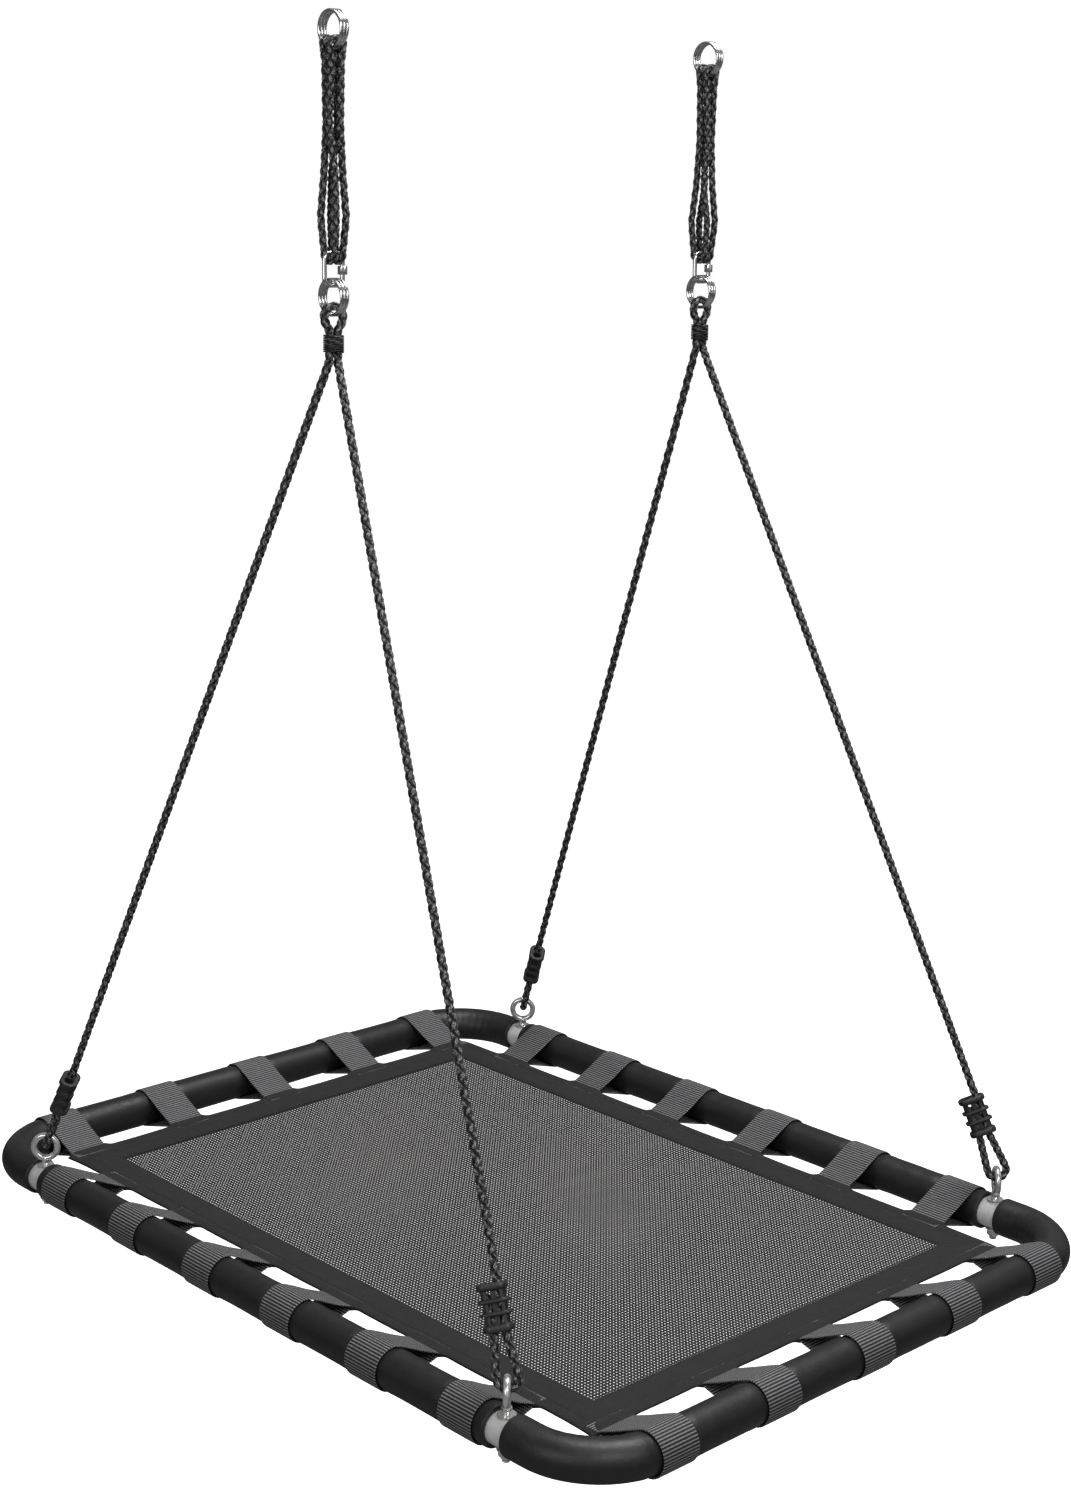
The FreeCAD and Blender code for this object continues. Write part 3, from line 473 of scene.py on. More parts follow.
def mesh_finish():
    """Coated yarn: satin plastic skin over fine filaments."""
    finish = Finish("mesh_yarn", (0.018, 0.018, 0.0185), 0.5, Specular_IOR_Level=0.45)
    finish.tint(finish.noise(0.012, 3), 0.86, 1.16)
    finish.rough(finish.noise(1.1, 3), 0.42, 0.6)
    finish.bump(finish.noise(2.6, 2), 0.04)
    return finish.material


def border_finish():
    """Dense twill: fine diagonal lines with slightly lighter worn patches."""
    finish = Finish("border_twill", (0.015, 0.015, 0.0155), 0.8, Specular_IOR_Level=0.3, Sheen_Weight=0.05)
    finish.tint(finish.noise(0.05, 4), 0.78, 1.3)
    finish.rough(finish.noise(0.6, 2), 0.72, 0.88)
    finish.bump(finish.noise(0.09, 3), 0.5)
    finish.bump(finish.wave(0.9, "DIAGONAL", (1, 1, 0), distortion=0.4), 0.1)
    return finish.material


def webbing_finish():
    """Heavy webbing: painted shade in the grooves and painted highlights on the rib crests, crossed by
    lengthwise yarns.
    """
    finish = Finish("webbing_weave", (0.055, 0.055, 0.057), 0.6, Sheen_Weight=0.1, Sheen_Roughness=0.4)
    # mask of the rib crests, where the highlight is painted; the grooves between them get painted shade
    painted_light_crowns = finish.maths("POWER", finish.crests("Y", RIB_PITCH, RIB_PITCH / 2), 2.2)
    specks = finish.reshape(finish.noise(0.55, 3, (1, 1.6, 1), uv=True), 0.5, 0.72, 0.55, 1.0)
    # base colour: painted shade in the grooves (0.05x) up to painted highlights on the crests (7x), broken up
    # by random specks
    finish.tint(finish.maths("MULTIPLY", painted_light_crowns, specks), 0.05, 7.0)
    finish.rough(finish.noise(0.8, 3, uv=True), 0.5, 0.72)
    finish.bump(finish.wave(0.7, uv=True), 0.08)
    finish.bump(finish.noise(2.5, 2, uv=True), 0.05)
    return finish.material


def rope_finish(name, colour, roughness):
    """Braided filament yarn: painted highlights, short glints on the strand crowns along the fibres of each
    strand.
    """
    finish = Finish(name, colour, roughness, Specular_IOR_Level=0.5)
    fibres = finish.noise(1.0, 3, (9, 0.45, 1), uv=True)
    # painted highlights: where the strands cross, on their outer face
    painted_light_crowns = finish.maths("MULTIPLY", finish.crests("Y", CROSSING, 0.0), finish.crests("X", 1.0, 0.25))
    painted_glints = finish.maths("MULTIPLY", painted_light_crowns, finish.reshape(fibres, 0.35, 0.6, 0.0, 1.0))
    # painted glints along the fibres raise the base colour from dark up to 36 times as bright
    finish.tint(finish.reshape(painted_glints, 0.3, 0.9, 0.0, 1.0), 0.6, 36.0)
    finish.rough(finish.noise(0.5, 2, uv=True), roughness * 0.8, roughness * 1.35)
    finish.bump(fibres, 0.16)
    return finish.material


def moulded_finish():
    """Moulded nylon with a faint spark-eroded grain."""
    finish = Finish("adjuster_nylon", (0.02, 0.02, 0.021), 0.42, Specular_IOR_Level=0.55)
    finish.tint(finish.noise(0.15, 3), 0.8, 1.3)
    finish.rough(finish.noise(0.9, 3), 0.34, 0.52)
    finish.bump(finish.noise(2.4, 3), 0.035)
    return finish.material


def thread_finish():
    """Waxed sewing thread, a shade lighter than the cloth it is sewn through."""
    finish = Finish("sewing_thread", (0.02, 0.02, 0.021), 0.6)
    finish.tint(finish.noise(0.8, 2), 0.7, 1.3)
    finish.bump(finish.noise(3.0, 2), 0.05)
    return finish.material


MATERIALS = {
    "foam": foam_finish(),
    "tube": steel_finish("tube_steel", (0.94, 0.94, 0.93), 0.34, 0.25, (0.25, 6, 6), 0.05),
    "bolt": steel_finish("bolt_zinc", (0.88, 0.88, 0.87), 0.22, 0.75, (3, 3, 0.6)),
    "ring": steel_finish("ring_plating", (0.9, 0.9, 0.91), 0.12, 0.95, (2, 2, 2)),
    "mesh": mesh_finish(),
    "border": border_finish(),
    "webbing": webbing_finish(),
    "rope": rope_finish("rope_braid", (0.009, 0.009, 0.0095), 0.45),
    "whipping": rope_finish("whipping_twine", (0.007, 0.007, 0.007), 0.6),
    "adjuster": moulded_finish(),
    "thread": thread_finish(),
}

# ---------------------------------------------------------------- how the mat sags

SAG_STEP, SAG_FRAMES = 12.0, 30
SAG_CLOTH = {
    "vertex_group_mass": "held",
    "quality": 8,
    "mass": 0.2,
    "tension_stiffness": 40,
    "compression_stiffness": 40,
    "shear_stiffness": 20,
    "bending_stiffness": 2,
    "air_damping": 5,
}


def strap_offsets(count, node, axis):
    """Centres of the straps of one row, from the extent of the CAD straps."""
    first, last = low(node)[axis] + STRAP_WIDTH / 2, high(node)[axis] - STRAP_WIDTH / 2
    return np.linspace(first, last, count)


LONG_STRAPS = strap_offsets(STRAPS_LONG, "straps_front", 0)
SHORT_STRAPS = strap_offsets(STRAPS_SHORT, "straps_right", 1)


def held(x, y):
    """True where a strap holds the mat's edge."""
    on_long = abs(y) > MAT_Y - STRAP_TAB and np.abs(LONG_STRAPS - x).min() < STRAP_WIDTH / 2
    on_short = abs(x) > MAT_X - STRAP_TAB and np.abs(SHORT_STRAPS - y).min() < STRAP_WIDTH / 2
    return on_long or on_short


def simulate_sag():
    """Lets a cloth the size of the mat hang from its straps; returns its drop on a regular grid."""
    columns, rows = (int(2 * half / SAG_STEP) + 1 for half in (MAT_X, MAT_Y))
    xs, ys = np.linspace(-MAT_X, MAT_X, columns), np.linspace(-MAT_Y, MAT_Y, rows)
    points = [(x * MM, y * MM, 0.0) for y in ys for x in xs]
    faces = [
        (r * columns + c, r * columns + c + 1, (r + 1) * columns + c + 1, (r + 1) * columns + c)
        for r in range(rows - 1)
        for c in range(columns - 1)
    ]
    mesh = bpy.data.meshes.new("sag")
    mesh.from_pydata(points, [], faces)
    sheet = bpy.data.objects.new("sag", mesh)
    bpy.context.scene.collection.objects.link(sheet)
    group = sheet.vertex_groups.new(name="held")
    group.add([k for k, p in enumerate(points) if held(p[0] / MM, p[1] / MM)], 1.0, "REPLACE")
    cloth = sheet.modifiers.new("cloth", "CLOTH")
    for setting, value in SAG_CLOTH.items():
        setattr(cloth.settings, setting, value)
    cloth.point_cache.frame_end = SAG_FRAMES
    for number in range(1, SAG_FRAMES + 1):
        bpy.context.scene.frame_set(number)
    graph = bpy.context.evaluated_depsgraph_get()
    settled = sheet.evaluated_get(graph).to_mesh()
    drop = np.array([v.co.z for v in settled.vertices]).reshape(rows, columns) / MM
    bpy.data.objects.remove(sheet)
    bpy.context.scene.frame_set(1)
    return xs, ys, drop * MAT_SAG / max(1e-6, -drop.min())


SAG_X, SAG_Y, SAG_DROP = simulate_sag()


def sag(x, y):
    """Height change of the mat at places in millimetres, read from the simulated sheet."""
    column = np.clip((x - SAG_X[0]) / (SAG_X[1] - SAG_X[0]), 0, len(SAG_X) - 1.001)
    row = np.clip((y - SAG_Y[0]) / (SAG_Y[1] - SAG_Y[0]), 0, len(SAG_Y) - 1.001)
    c, r = column.astype(int), row.astype(int)
    fc, fr = column - c, row - r
    top = SAG_DROP[r, c] * (1 - fc) + SAG_DROP[r, c + 1] * fc
    bottom = SAG_DROP[r + 1, c] * (1 - fc) + SAG_DROP[r + 1, c + 1] * fc
    return top * (1 - fr) + bottom * fr


# ---------------------------------------------------------------- mat

YARN_WIDTH, YARN_T, YARN_WAVE, YARN_TUCK = 3.12, 0.55, 0.28, 5.0
YARN_SECTION = [(-0.5, 0), (-0.28, -0.5), (0.28, -0.5), (0.5, 0), (0.28, 0.5), (-0.28, 0.5)]


def yarn_positions(half):
    """Middles of the yarns across the mesh, whose ends are tucked into the border."""
    count = int((half + YARN_TUCK) // MESH_PITCH)
    return np.arange(-count, count + 1) * MESH_PITCH


def weave_yarns(name, along_x, half):
    """The yarns of one direction in one half of the mesh: flat, over one and under one."""
    xs, ys = yarn_positions(OPEN_X), yarn_positions(OPEN_Y)
    lines, crossings = (ys, xs) if along_x else (xs, ys)
    run, side = (0, 1) if along_x else (1, 0)
    middle_line = len(lines) // 2
    numbers = range(middle_line) if half < 0 else range(middle_line, len(lines))
    section = np.array(YARN_SECTION)
    skin = Skin()
    for number in numbers:
        over = (np.arange(len(crossings)) + number) % 2 == (0 if along_x else 1)
        rings = np.zeros((len(crossings), len(section), 3))
        rings[..., run] = crossings[:, None]
        rings[..., side] = lines[number] + section[:, 0] * YARN_WIDTH
        rings[..., 2] = MAT_MIDDLE + np.where(over, YARN_WAVE, -YARN_WAVE)[:, None] + section[:, 1] * YARN_T
        rings[..., 2] += sag(rings[..., 0], rings[..., 1])
        skin.loft(rings, v=crossings)
    add_piece(name, skin, "mesh", "platform", "mesh_cloth", "mat_mesh")


def make_mesh_cloth():
    for half, tag in ((-1, "a"), (1, "b")):
        weave_yarns(f"mesh_warp_{tag}", True, half)
        weave_yarns(f"mesh_weft_{tag}", False, half)


INNER_SEAM, OUTER_SEAM = 3.5, 31.0
SEAM_DEPTH, SEAM_WIDTH = 0.5, 1.1
FILLET, CORNER_FADE = 9.0, 5.0
STRAP_SWELL = 0.75
MITRE_DEPTH, MITRE_WIDTH = 0.45, 2.0
RIPPLE = 0.3
BAND_STEP = 2.4
BAND_INSET = [0.0, 0.5, 1.4, 2.4, INNER_SEAM, 4.6, 5.8, 9, 15, 22, 27, 29.7, 30.3]
BAND_INSET += [OUTER_SEAM, 31.7, 32.4, 34, 36, 39, 42, 43.4, 44.3, 44.8, BORDER]
# the border's sides are numbered round the mat: 0 front, 1 right, 2 back, 3 left
HALF_SIDE = (MAT_X, MAT_Y, MAT_X, MAT_Y)
SIDE_STRAPS = (LONG_STRAPS, SHORT_STRAPS, LONG_STRAPS, SHORT_STRAPS)


def strap_nearness(spot, side):
    """1 where the edge of a side covers a strap, falling to 0 across a fillet's width beside it."""
    gap = np.abs(np.asarray(spot)[..., None] - SIDE_STRAPS[side]).min(-1) - STRAP_WIDTH / 2
    corner = HALF_SIDE[side] - np.abs(spot)
    return (1 - np.clip(gap / FILLET, 0, 1)) * np.clip(corner / CORNER_FADE, 0, 1)


def border_swell(across, near):
    """Half the border's thickness: thin folded edges, sewn grooves and swollen pockets over the straps."""
    half = (BORDER_TOP - BORDER_FOOT) / 2
    flat = half - 0.9 * np.exp(-across / 0.8) - 0.8 * np.exp(-(BORDER - across) / 0.8)
    for seam in (INNER_SEAM, OUTER_SEAM):
        flat = flat - SEAM_DEPTH * np.exp(-(((across - seam) / SEAM_WIDTH) ** 2))
    cover = np.clip(near * 1.6 - 0.6, 0, 1) * np.clip((across - OUTER_SEAM) / 4, 0, 1)
    return flat + cover * (half + STRAP_SWELL - flat)


def border_point(spot, across, side):
    """A place on the border: spot runs along one side, across from the mesh to the outer edge."""
    reach_x, reach_y = OPEN_X + across, OPEN_Y + across
    near = strap_nearness(spot * HALF_SIDE[side], side)
    fillet = BORDER_LAP * (1 - np.sqrt(np.clip(1 - near**2, 0, 1)))
    hollow = 1.2 * (1 - near) * np.clip((1 - np.abs(spot)) * 12, 0, 1)
    push = (fillet - hollow) * np.clip((across - OUTER_SEAM) / (BORDER - OUTER_SEAM), 0, 1)
    x, y = (reach_x + push, spot * reach_y) if side % 2 else (spot * reach_x, -(reach_y + push))
    return (-x, -y) if side > 1 else (x, y)


def make_border():
    """Folded border round the mesh, mitred at the corners and lapped over the strap ends."""
    across = np.array(BAND_INSET + BAND_INSET[::-1])
    face = np.repeat([1.0, -1.0], len(BAND_INSET))
    rings = []
    for side, half in enumerate(HALF_SIDE):
        for spot in np.linspace(-1, 1, int(2 * half / BAND_STEP), endpoint=False):
            x, y = border_point(np.full_like(across, spot), across, side)
            near = strap_nearness(spot * half, side)
            mitre = MITRE_DEPTH * math.exp(-(((1 - abs(spot)) * half / MITRE_WIDTH) ** 2))
            ripple = RIPPLE * np.sin(x / 17.0 + y / 23.0) * np.sin(y / 13.0 - x / 31.0)
            settle = ripple * (1 - np.abs(2 * across / BORDER - 1))
            lift = face * (border_swell(across, near) - mitre)
            rings.append(np.stack([x, y, MAT_MIDDLE + lift + settle + sag(x, y)], 1))
    skin = Skin().loft(rings, closed=True)
    add_piece("border_band", skin, "border", "platform", "border_cloth", "mat_border")


STITCH, STITCH_GAP, STITCH_LIFT, THREAD_R = 3.2, 1.3, 0.12, 0.42
STITCH_BOW = STITCH_LIFT + 0.22 * np.array([-1.6, 0.4, 1, 0.4, -1.6])
STITCH_RADII = THREAD_R * np.array([0.5, 1, 1, 1, 0.5])


def stitch_line(skin, path):
    """A row of short raised stitches along a path."""
    for number in range(int(lengths(path)[-1] // (STITCH + STITCH_GAP))):
        start = (number + 0.5) * (STITCH + STITCH_GAP)
        spots = places_on(path, start + np.linspace(0, STITCH, len(STITCH_BOW)))
        spots[:, 2] += STITCH_BOW
        tube(skin, spots, STITCH_RADII, 5)


def make_border_stitches():
    """Two rows of stitches along every side of the border."""
    skin = Skin()
    for seam in (INNER_SEAM, OUTER_SEAM):
        for side in range(4):
            spots = np.linspace(-0.985, 0.985, 200)
            x, y = border_point(spots, np.full_like(spots, seam), side)
            z = MAT_MIDDLE + border_swell(np.full_like(spots, seam), 0.0) + sag(x, y)
            stitch_line(skin, np.stack([x, y, z], 1))
    add_piece("border_stitches", skin, "thread", "platform", "border_cloth")


# ---------------------------------------------------------------- straps


def strap_line(edge, rail):
    """Middle line of a strap, in (outwards, up): out of the border, round the foam and back in."""
    radius = STRAP_INNER_R + STRAP_T / 2
    half_gap = STRAP_T / 2 + TOUCH
    centre = np.array([rail, RAIL_Z])
    ends = [np.array([edge, MAT_MIDDLE + sign * half_gap]) for sign in (1, -1)]
    touches = []
    for gap, sign in zip(ends - centre, (-1, 1)):
        touches.append(math.atan2(gap[1], gap[0]) + sign * math.acos(radius / np.linalg.norm(gap)))
    over = touches[0] % (2 * math.pi)
    arc = np.linspace(over, over - (over - touches[1]) % (2 * math.pi), 90)
    circle = centre + radius * np.stack([np.cos(arc), np.sin(arc)], 1)
    tab = np.array([STRAP_TAB + STRAP_SPLIT, 0.0])
    line = np.concatenate([[ends[0] - tab], [ends[0]], circle, [ends[1]], [ends[1] - tab]])
    return np.concatenate([line, np.zeros((len(line), 1))], 1)


def to_side(points, heading):
    """Turns (outwards, sideways, up) into the row frame for a side that faces a heading."""
    return np.stack([*turned(points[..., 0], points[..., 1], heading), points[..., 2]], -1)


def rib_relief(reach):
    """Height of the ribs along a strap, from 0 in the narrow grooves to 1 on the rounded crests."""
    return np.abs(np.sin(math.pi * reach / RIB_PITCH)) ** 0.7


WEB_COLUMNS = np.array([-1, -0.985, -0.95, -0.9, -0.5, 0, 0.5, 0.9, 0.95, 0.985, 1]) * STRAP_WIDTH / 2
WEB_CROWN = np.array([0.3, 0.85, 1.12, 0.98, 1, 1, 1, 0.98, 1.12, 0.85, 0.3])  # thickness, with selvedges


def make_strap(skin, edge, rail, offset, heading, skew, slack):
    """One ribbed strap, whose two ends lie inside the border."""
    line = respace(strap_line(edge + STRAP_SPLIT, rail), RIB_PITCH / 6)
    reach = lengths(line)
    tangent = unit(np.gradient(line, axis=0))
    out = np.stack([-tangent[:, 1], tangent[:, 0]], 1)
    share = np.clip((reach - STRAP_TAB) / (rail - edge - 12), 0, 1)
    dip = -slack * np.sin(math.pi * share) ** 2
    half_thick = STRAP_T / 2 - RIB_DEPTH * (1 - rib_relief(reach))
    drift = skew * (line[:, 0] - edge)
    rings = []
    for face in (1, -1):
        depth = face * half_thick[:, None] * WEB_CROWN[::face]
        outwards = line[:, None, 0] + out[:, None, 0] * depth
        up = line[:, None, 1] + out[:, None, 1] * depth + dip[:, None]
        sideways = offset + WEB_COLUMNS[::face] + drift[:, None]
        rings.append(np.stack([outwards, sideways, up], -1))
    u = np.concatenate([WEB_COLUMNS, WEB_COLUMNS[::-1], WEB_COLUMNS[:1]]) + STRAP_WIDTH
    skin.loft(to_side(np.concatenate(rings, 1), heading), v=reach, u=u)


def make_straps():
    """The straps of all four sides, each with its own small skew and slack."""
    draw = random.Random(SEED)
    rows = [
        ("right", MAT_X, RAIL_X, SHORT_STRAPS, 0.0),
        ("back", MAT_Y, RAIL_Y, LONG_STRAPS, math.pi / 2),
        ("left", MAT_X, RAIL_X, SHORT_STRAPS, math.pi),
        ("front", MAT_Y, RAIL_Y, LONG_STRAPS, -math.pi / 2),
    ]
    for tag, edge, rail, offsets, heading in rows:
        skin = Skin()
        for offset in offsets:
            skew, slack = draw.uniform(-0.012, 0.012), draw.uniform(0.2, 1.2)
            make_strap(skin, edge, rail, offset, heading, skew, slack)
        add_piece(f"webbing_{tag}", skin, "webbing", "platform", "webbing", f"straps_{tag}")


# ---------------------------------------------------------------- foam

STRAP_DENT, DENT_EDGE = 0.55, 7.0
FOAM_LIP = 1.6
FOAM_BORE = TUBE_R + 0.15
FOAM_SIDES, FOAM_STEP = 56, 3.0
LUMPS, LUMP_HEIGHT = 14, 0.035
CREASE_DEPTH, CREASE_PITCH = 0.28, 11.0


def strap_dent(distance):
    """How far a strap presses the foam in, by distance from the strap's middle."""
    inside = np.clip((STRAP_WIDTH / 2 + DENT_EDGE - np.abs(distance)) / DENT_EDGE, 0, 1)
    bulge = np.exp(-(((np.abs(distance) - STRAP_WIDTH / 2 - 9) / 6) ** 2))
    return STRAP_DENT * inside * inside * (3 - 2 * inside) - 0.22 * bulge


def corner_path(end):
    """Middle line of a U-shaped foam sleeve, from the front bolt round to the back one."""
    corners = [
        (CORNER_FOAM_START, -RAIL_Y),
        (RAIL_X, -RAIL_Y),
        (RAIL_X, RAIL_Y),
        (CORNER_FOAM_START, RAIL_Y),
    ]
    points = [(end * x, end * y, RAIL_Z) for x, y in corners]
    return rounded(points, [0, BEND_R, BEND_R, 0], FOAM_STEP)


def foam_relief(reach, turn, tangents, normals, seed):
    """Shallow lumps all along a foam sleeve, and creases on the inside of its bends."""
    draw = np.random.RandomState(seed)
    relief = np.zeros((len(reach), turn.size))
    for _ in range(LUMPS):
        length, order = draw.uniform(25, 160), draw.randint(0, 4)
        phase = draw.uniform(0, 2 * math.pi, 2)
        wave = np.sin(2 * math.pi * reach[:, None] / length + phase[0])
        relief += LUMP_HEIGHT * wave * np.cos(order * turn + phase[1])
    bend = np.einsum("ij,ij->i", np.gradient(tangents, reach, axis=0), normals)
    bend = np.convolve(bend, np.ones(7) / 7, "same")[:, None] * BEND_R
    inside = np.clip(np.cos(turn) * np.sign(bend), 0, 1) ** 2 * np.abs(bend)
    creases = np.sin(2 * math.pi * reach / CREASE_PITCH + 1.4 * np.sin(reach / 17.0))
    return relief + CREASE_DEPTH * inside * creases[:, None]


def foam_sleeve(tag, path, dents, seed):
    """A foam hose with rolled ends, strap dents, shallow lumps and creases inside the bends."""
    tangents = directions(path, False)[0]
    normals = np.cross((0, 0, 1.0), tangents)
    across = np.cross(tangents, normals)
    turn = full_turn(FOAM_SIDES)[None, :]
    reach = lengths(path)
    radius = FOAM_R - dents[:, None] + foam_relief(reach, turn, tangents, normals, seed)
    spokes = np.cos(turn.T)[None] * normals[:, None] + np.sin(turn.T)[None] * across[:, None]

    def ring(at, size, shift=0.0):
        return path[at] + tangents[at] * shift + np.reshape(size, (-1, 1)) * spokes[at]

    def rolled_end(at, way):
        lip = []
        for angle in (0, 25, 50, 70, 90):
            bow = math.radians(angle)
            shift = way * FOAM_LIP * (math.sin(bow) - 1)
            lip.append(ring(at, radius[at] - FOAM_LIP * (1 - math.cos(bow)), shift))
        bore = np.full(FOAM_SIDES, FOAM_BORE)
        return lip + [ring(at, bore + 0.6), ring(at, bore, -way * 0.8)]

    last = len(path) - 1
    lining = [ring(at, np.full(FOAM_SIDES, FOAM_BORE)) for at in range(last - 1, 0, -6)]
    skin_rings = rolled_end(0, -1)[::-1] + [ring(at, radius[at]) for at in range(1, last)]
    skin = Skin().loft(skin_rings + rolled_end(last, 1) + lining, closed=True)
    add_piece(f"foam_skin_{tag}", skin, "foam", "platform", "foam", f"foam_{tag}")


def make_foam():
    """Straight sleeves on the long sides, U-shaped ones round the ends."""
    for side in SIDES:
        ends = [(end * FOAM_END, side * RAIL_Y, RAIL_Z) for end in ENDS]
        path = respace(np.array(ends), FOAM_STEP)
        dents = sum(strap_dent(path[:, 0] - spot) for spot in LONG_STRAPS)
        foam_sleeve(SIDE_NAME[side], path, dents, 11 + side)
    for end in ENDS:
        path = corner_path(end)
        dents = sum(strap_dent(path[:, 1] - spot) for spot in SHORT_STRAPS)
        foam_sleeve(END_NAME[end], path, dents * (np.abs(path[:, 0]) > RAIL_X - 12), 21 + end)


# ---------------------------------------------------------------- bolts, washers, nuts


def hexagon(width, profile):
    """Rings of a hexagon whose corners are cut back to (height, radius) pairs, as chamfers do."""
    count = 48
    flat = width / 2 / np.cos(np.mod(full_turn(count), math.pi / 3) - math.pi / 6)
    return np.array([level_ring(np.minimum(flat, radius), height, count) for height, radius in profile])


def bolt_profile():
    """Outline of the shank, from the cut thread at its foot up to the flared neck under the eye."""
    nut_foot = RAIL_Z - TUBE_R - WASHER_T - NUT_HEIGHT - COLLAR_HEIGHT
    foot = low("eye_bolts")[2]
    neck = EYE_Z - EYE_R
    profile = [(0.01, foot), (3.0, foot), (3.6, foot + 0.6)]
    height = foot + 0.9
    while height < nut_foot + 1.5:
        profile += [(THREAD_CREST_R, height), (THREAD_CREST_R, height + 0.25)]
        profile += [(THREAD_ROOT_R, height + 0.62), (THREAD_ROOT_R, height + 0.75)]
        height += THREAD_PITCH
    shank = [(THREAD_CREST_R, height), (THREAD_CREST_R, neck - 14), (BOLT_R, neck - 8)]
    flare = [(4.9, neck - 3.2), (5.0, neck - 1), (3.2, neck + 1)]
    return profile + shank + flare


def make_eye_bolts():
    """Forged eye bolts: ring, flared neck, shank and cut thread."""
    turn = full_turn(72)
    hoop = np.stack([EYE_R * np.sin(turn), 0 * turn, EYE_Z - EYE_R * np.cos(turn)], 1)
    for side, end in CORNERS:
        name = f"forged_eye_{SIDE_NAME[side]}_{END_NAME[end]}"
        ring = tube(Skin(), hoop, EYE_WIRE / 2, 24, closed=True).mesh(name, packed=False)
        ring.transform(Matrix.Rotation(-end * EYE_TURN, 4, "Z"))
        item = add_piece(name, ring, "bolt", "platform", "bolt_steel", "eye_bolts")
        carve(item, lathe(Skin(), bolt_profile()), "UNION")
        item.data.transform(Matrix.Translation((end * BOLT_X * MM, side * RAIL_Y * MM, 0)))
        sharpen(item.data)


def washer_outline(foot):
    """Section of a washer with rolled edges, as (radius, height) pairs."""
    top, bore, edge = foot + WASHER_T, BOLT_R + 0.25, 0.35
    lower = [(bore, foot), (WASHER_R - edge, foot), (WASHER_R, foot + edge)]
    return lower + [(WASHER_R, top - edge), (WASHER_R - edge, top), (bore, top)]


def nut_profile(top):
    """(height, radius) pairs of a lock nut: chamfered hexagon, then a domed collar."""
    foot, bore, cone = top - NUT_HEIGHT, BOLT_R + 0.08, NUT_WIDTH / 2
    end = foot - COLLAR_HEIGHT
    upper = [(top, bore), (top, cone), (top - 0.5, cone + 0.6), (top - 1.0, cone + 1.2)]
    lower = [(foot + 1.0, cone + 1.2), (foot + 0.4, cone + 0.4), (foot, COLLAR_R + 0.3)]
    dome = [(end + 0.8, COLLAR_R), (end + 0.2, COLLAR_R - 0.4), (end, COLLAR_R - 1.0), (end, bore)]
    return upper + lower + dome


def make_small_hardware():
    """Washers above and below the tube, and lock nuts under the lower ones."""
    washers, nuts = Skin(), Skin()
    below = RAIL_Z - TUBE_R - WASHER_T
    for side, end in CORNERS:
        spot = np.array([end * BOLT_X, side * RAIL_Y, 0.0])
        for foot in (RAIL_Z + TUBE_R, below):
            rings = [level_ring(radius, height, 40) for radius, height in washer_outline(foot)]
            washers.loft(np.array(rings) + spot, closed=True)
        nuts.loft(hexagon(NUT_WIDTH, nut_profile(below)) + spot, closed=True)
    for name, skin, node in (("washers", washers, "bolt_washers"), ("lock_nut_set", nuts, "lock_nuts")):
        add_piece(name, sharpen(skin.mesh(name)), "bolt", "platform", "bolt_steel", node)


# ---------------------------------------------------------------- rings and links


RING_LEAN = math.radians(2.2)
WELD_SWELL, WELD_ANGLE, WELD_SPAN = 0.12, 2.4, 0.09


def make_rings():
    """Sets of three welded rings; the outer two lean a little away from the middle one."""
    major = (RING_OD - RING_DRAWN) / 2
    turn = full_turn(96)
    weld = 1 + WELD_SWELL * np.exp(-(((turn - WELD_ANGLE) / WELD_SPAN) ** 2))
    for side in SIDES:
        tag = SIDE_NAME[side]
        for spot, height, body in (("top", TOP_Z, "top_rings"), ("lower", LOWER_Z, f"ropes_{tag}")):
            skin = Skin()
            for number in (-1, 0, 1):
                lean = number * math.sin(RING_LEAN) * major * (1 - np.cos(turn))
                y = side * RING_Y + number * (RING_DRAWN + 0.1) + lean
                path = np.stack([major * np.sin(turn), y, height - major * np.cos(turn)], 1)
                tube(skin, path, weld * RING_DRAWN / 2, 20, closed=True)
            add_piece(f"{spot}_ring_set_{tag}", skin, "ring", body, "plated_ring", f"{spot}_ring_{tag}")


def link_skin(y):
    """Wire bent to an oval that stays open at the middle of its outer side bar."""
    middle_z, mouth = (LINK_TOP + LINK_FOOT) / 2, LINK_MOUTH / 2
    outline = [(1, middle_z + mouth), (1, LINK_TOP), (-1, LINK_TOP)]
    outline += [(-1, LINK_FOOT), (1, LINK_FOOT), (1, middle_z - mouth)]
    corners = [(0, y + bar * LINK_HALF, z) for bar, z in outline]
    path = rounded(corners, [0, *[LINK_CORNER] * 4, 0], 0.8)
    return tube(Skin(), path, LINK_WIRE / 2, 20)


def screw_sleeve_skin(y, tag):
    """Hexagonal sleeve over the opening of a link."""
    foot, top = low(f"link_sleeve_{tag}")[2], high(f"link_sleeve_{tag}")[2]
    bore, limit = LINK_WIRE / 2 + 0.1, SLEEVE_WIDTH / 2
    profile = [(foot, bore), (foot, limit), (foot + 0.5, limit + 0.6)]
    profile += [(top - 0.5, limit + 0.6), (top, limit), (top, bore)]
    return Skin().loft(hexagon(SLEEVE_WIDTH, profile) + np.array([0, y + LINK_HALF, 0]), closed=True)


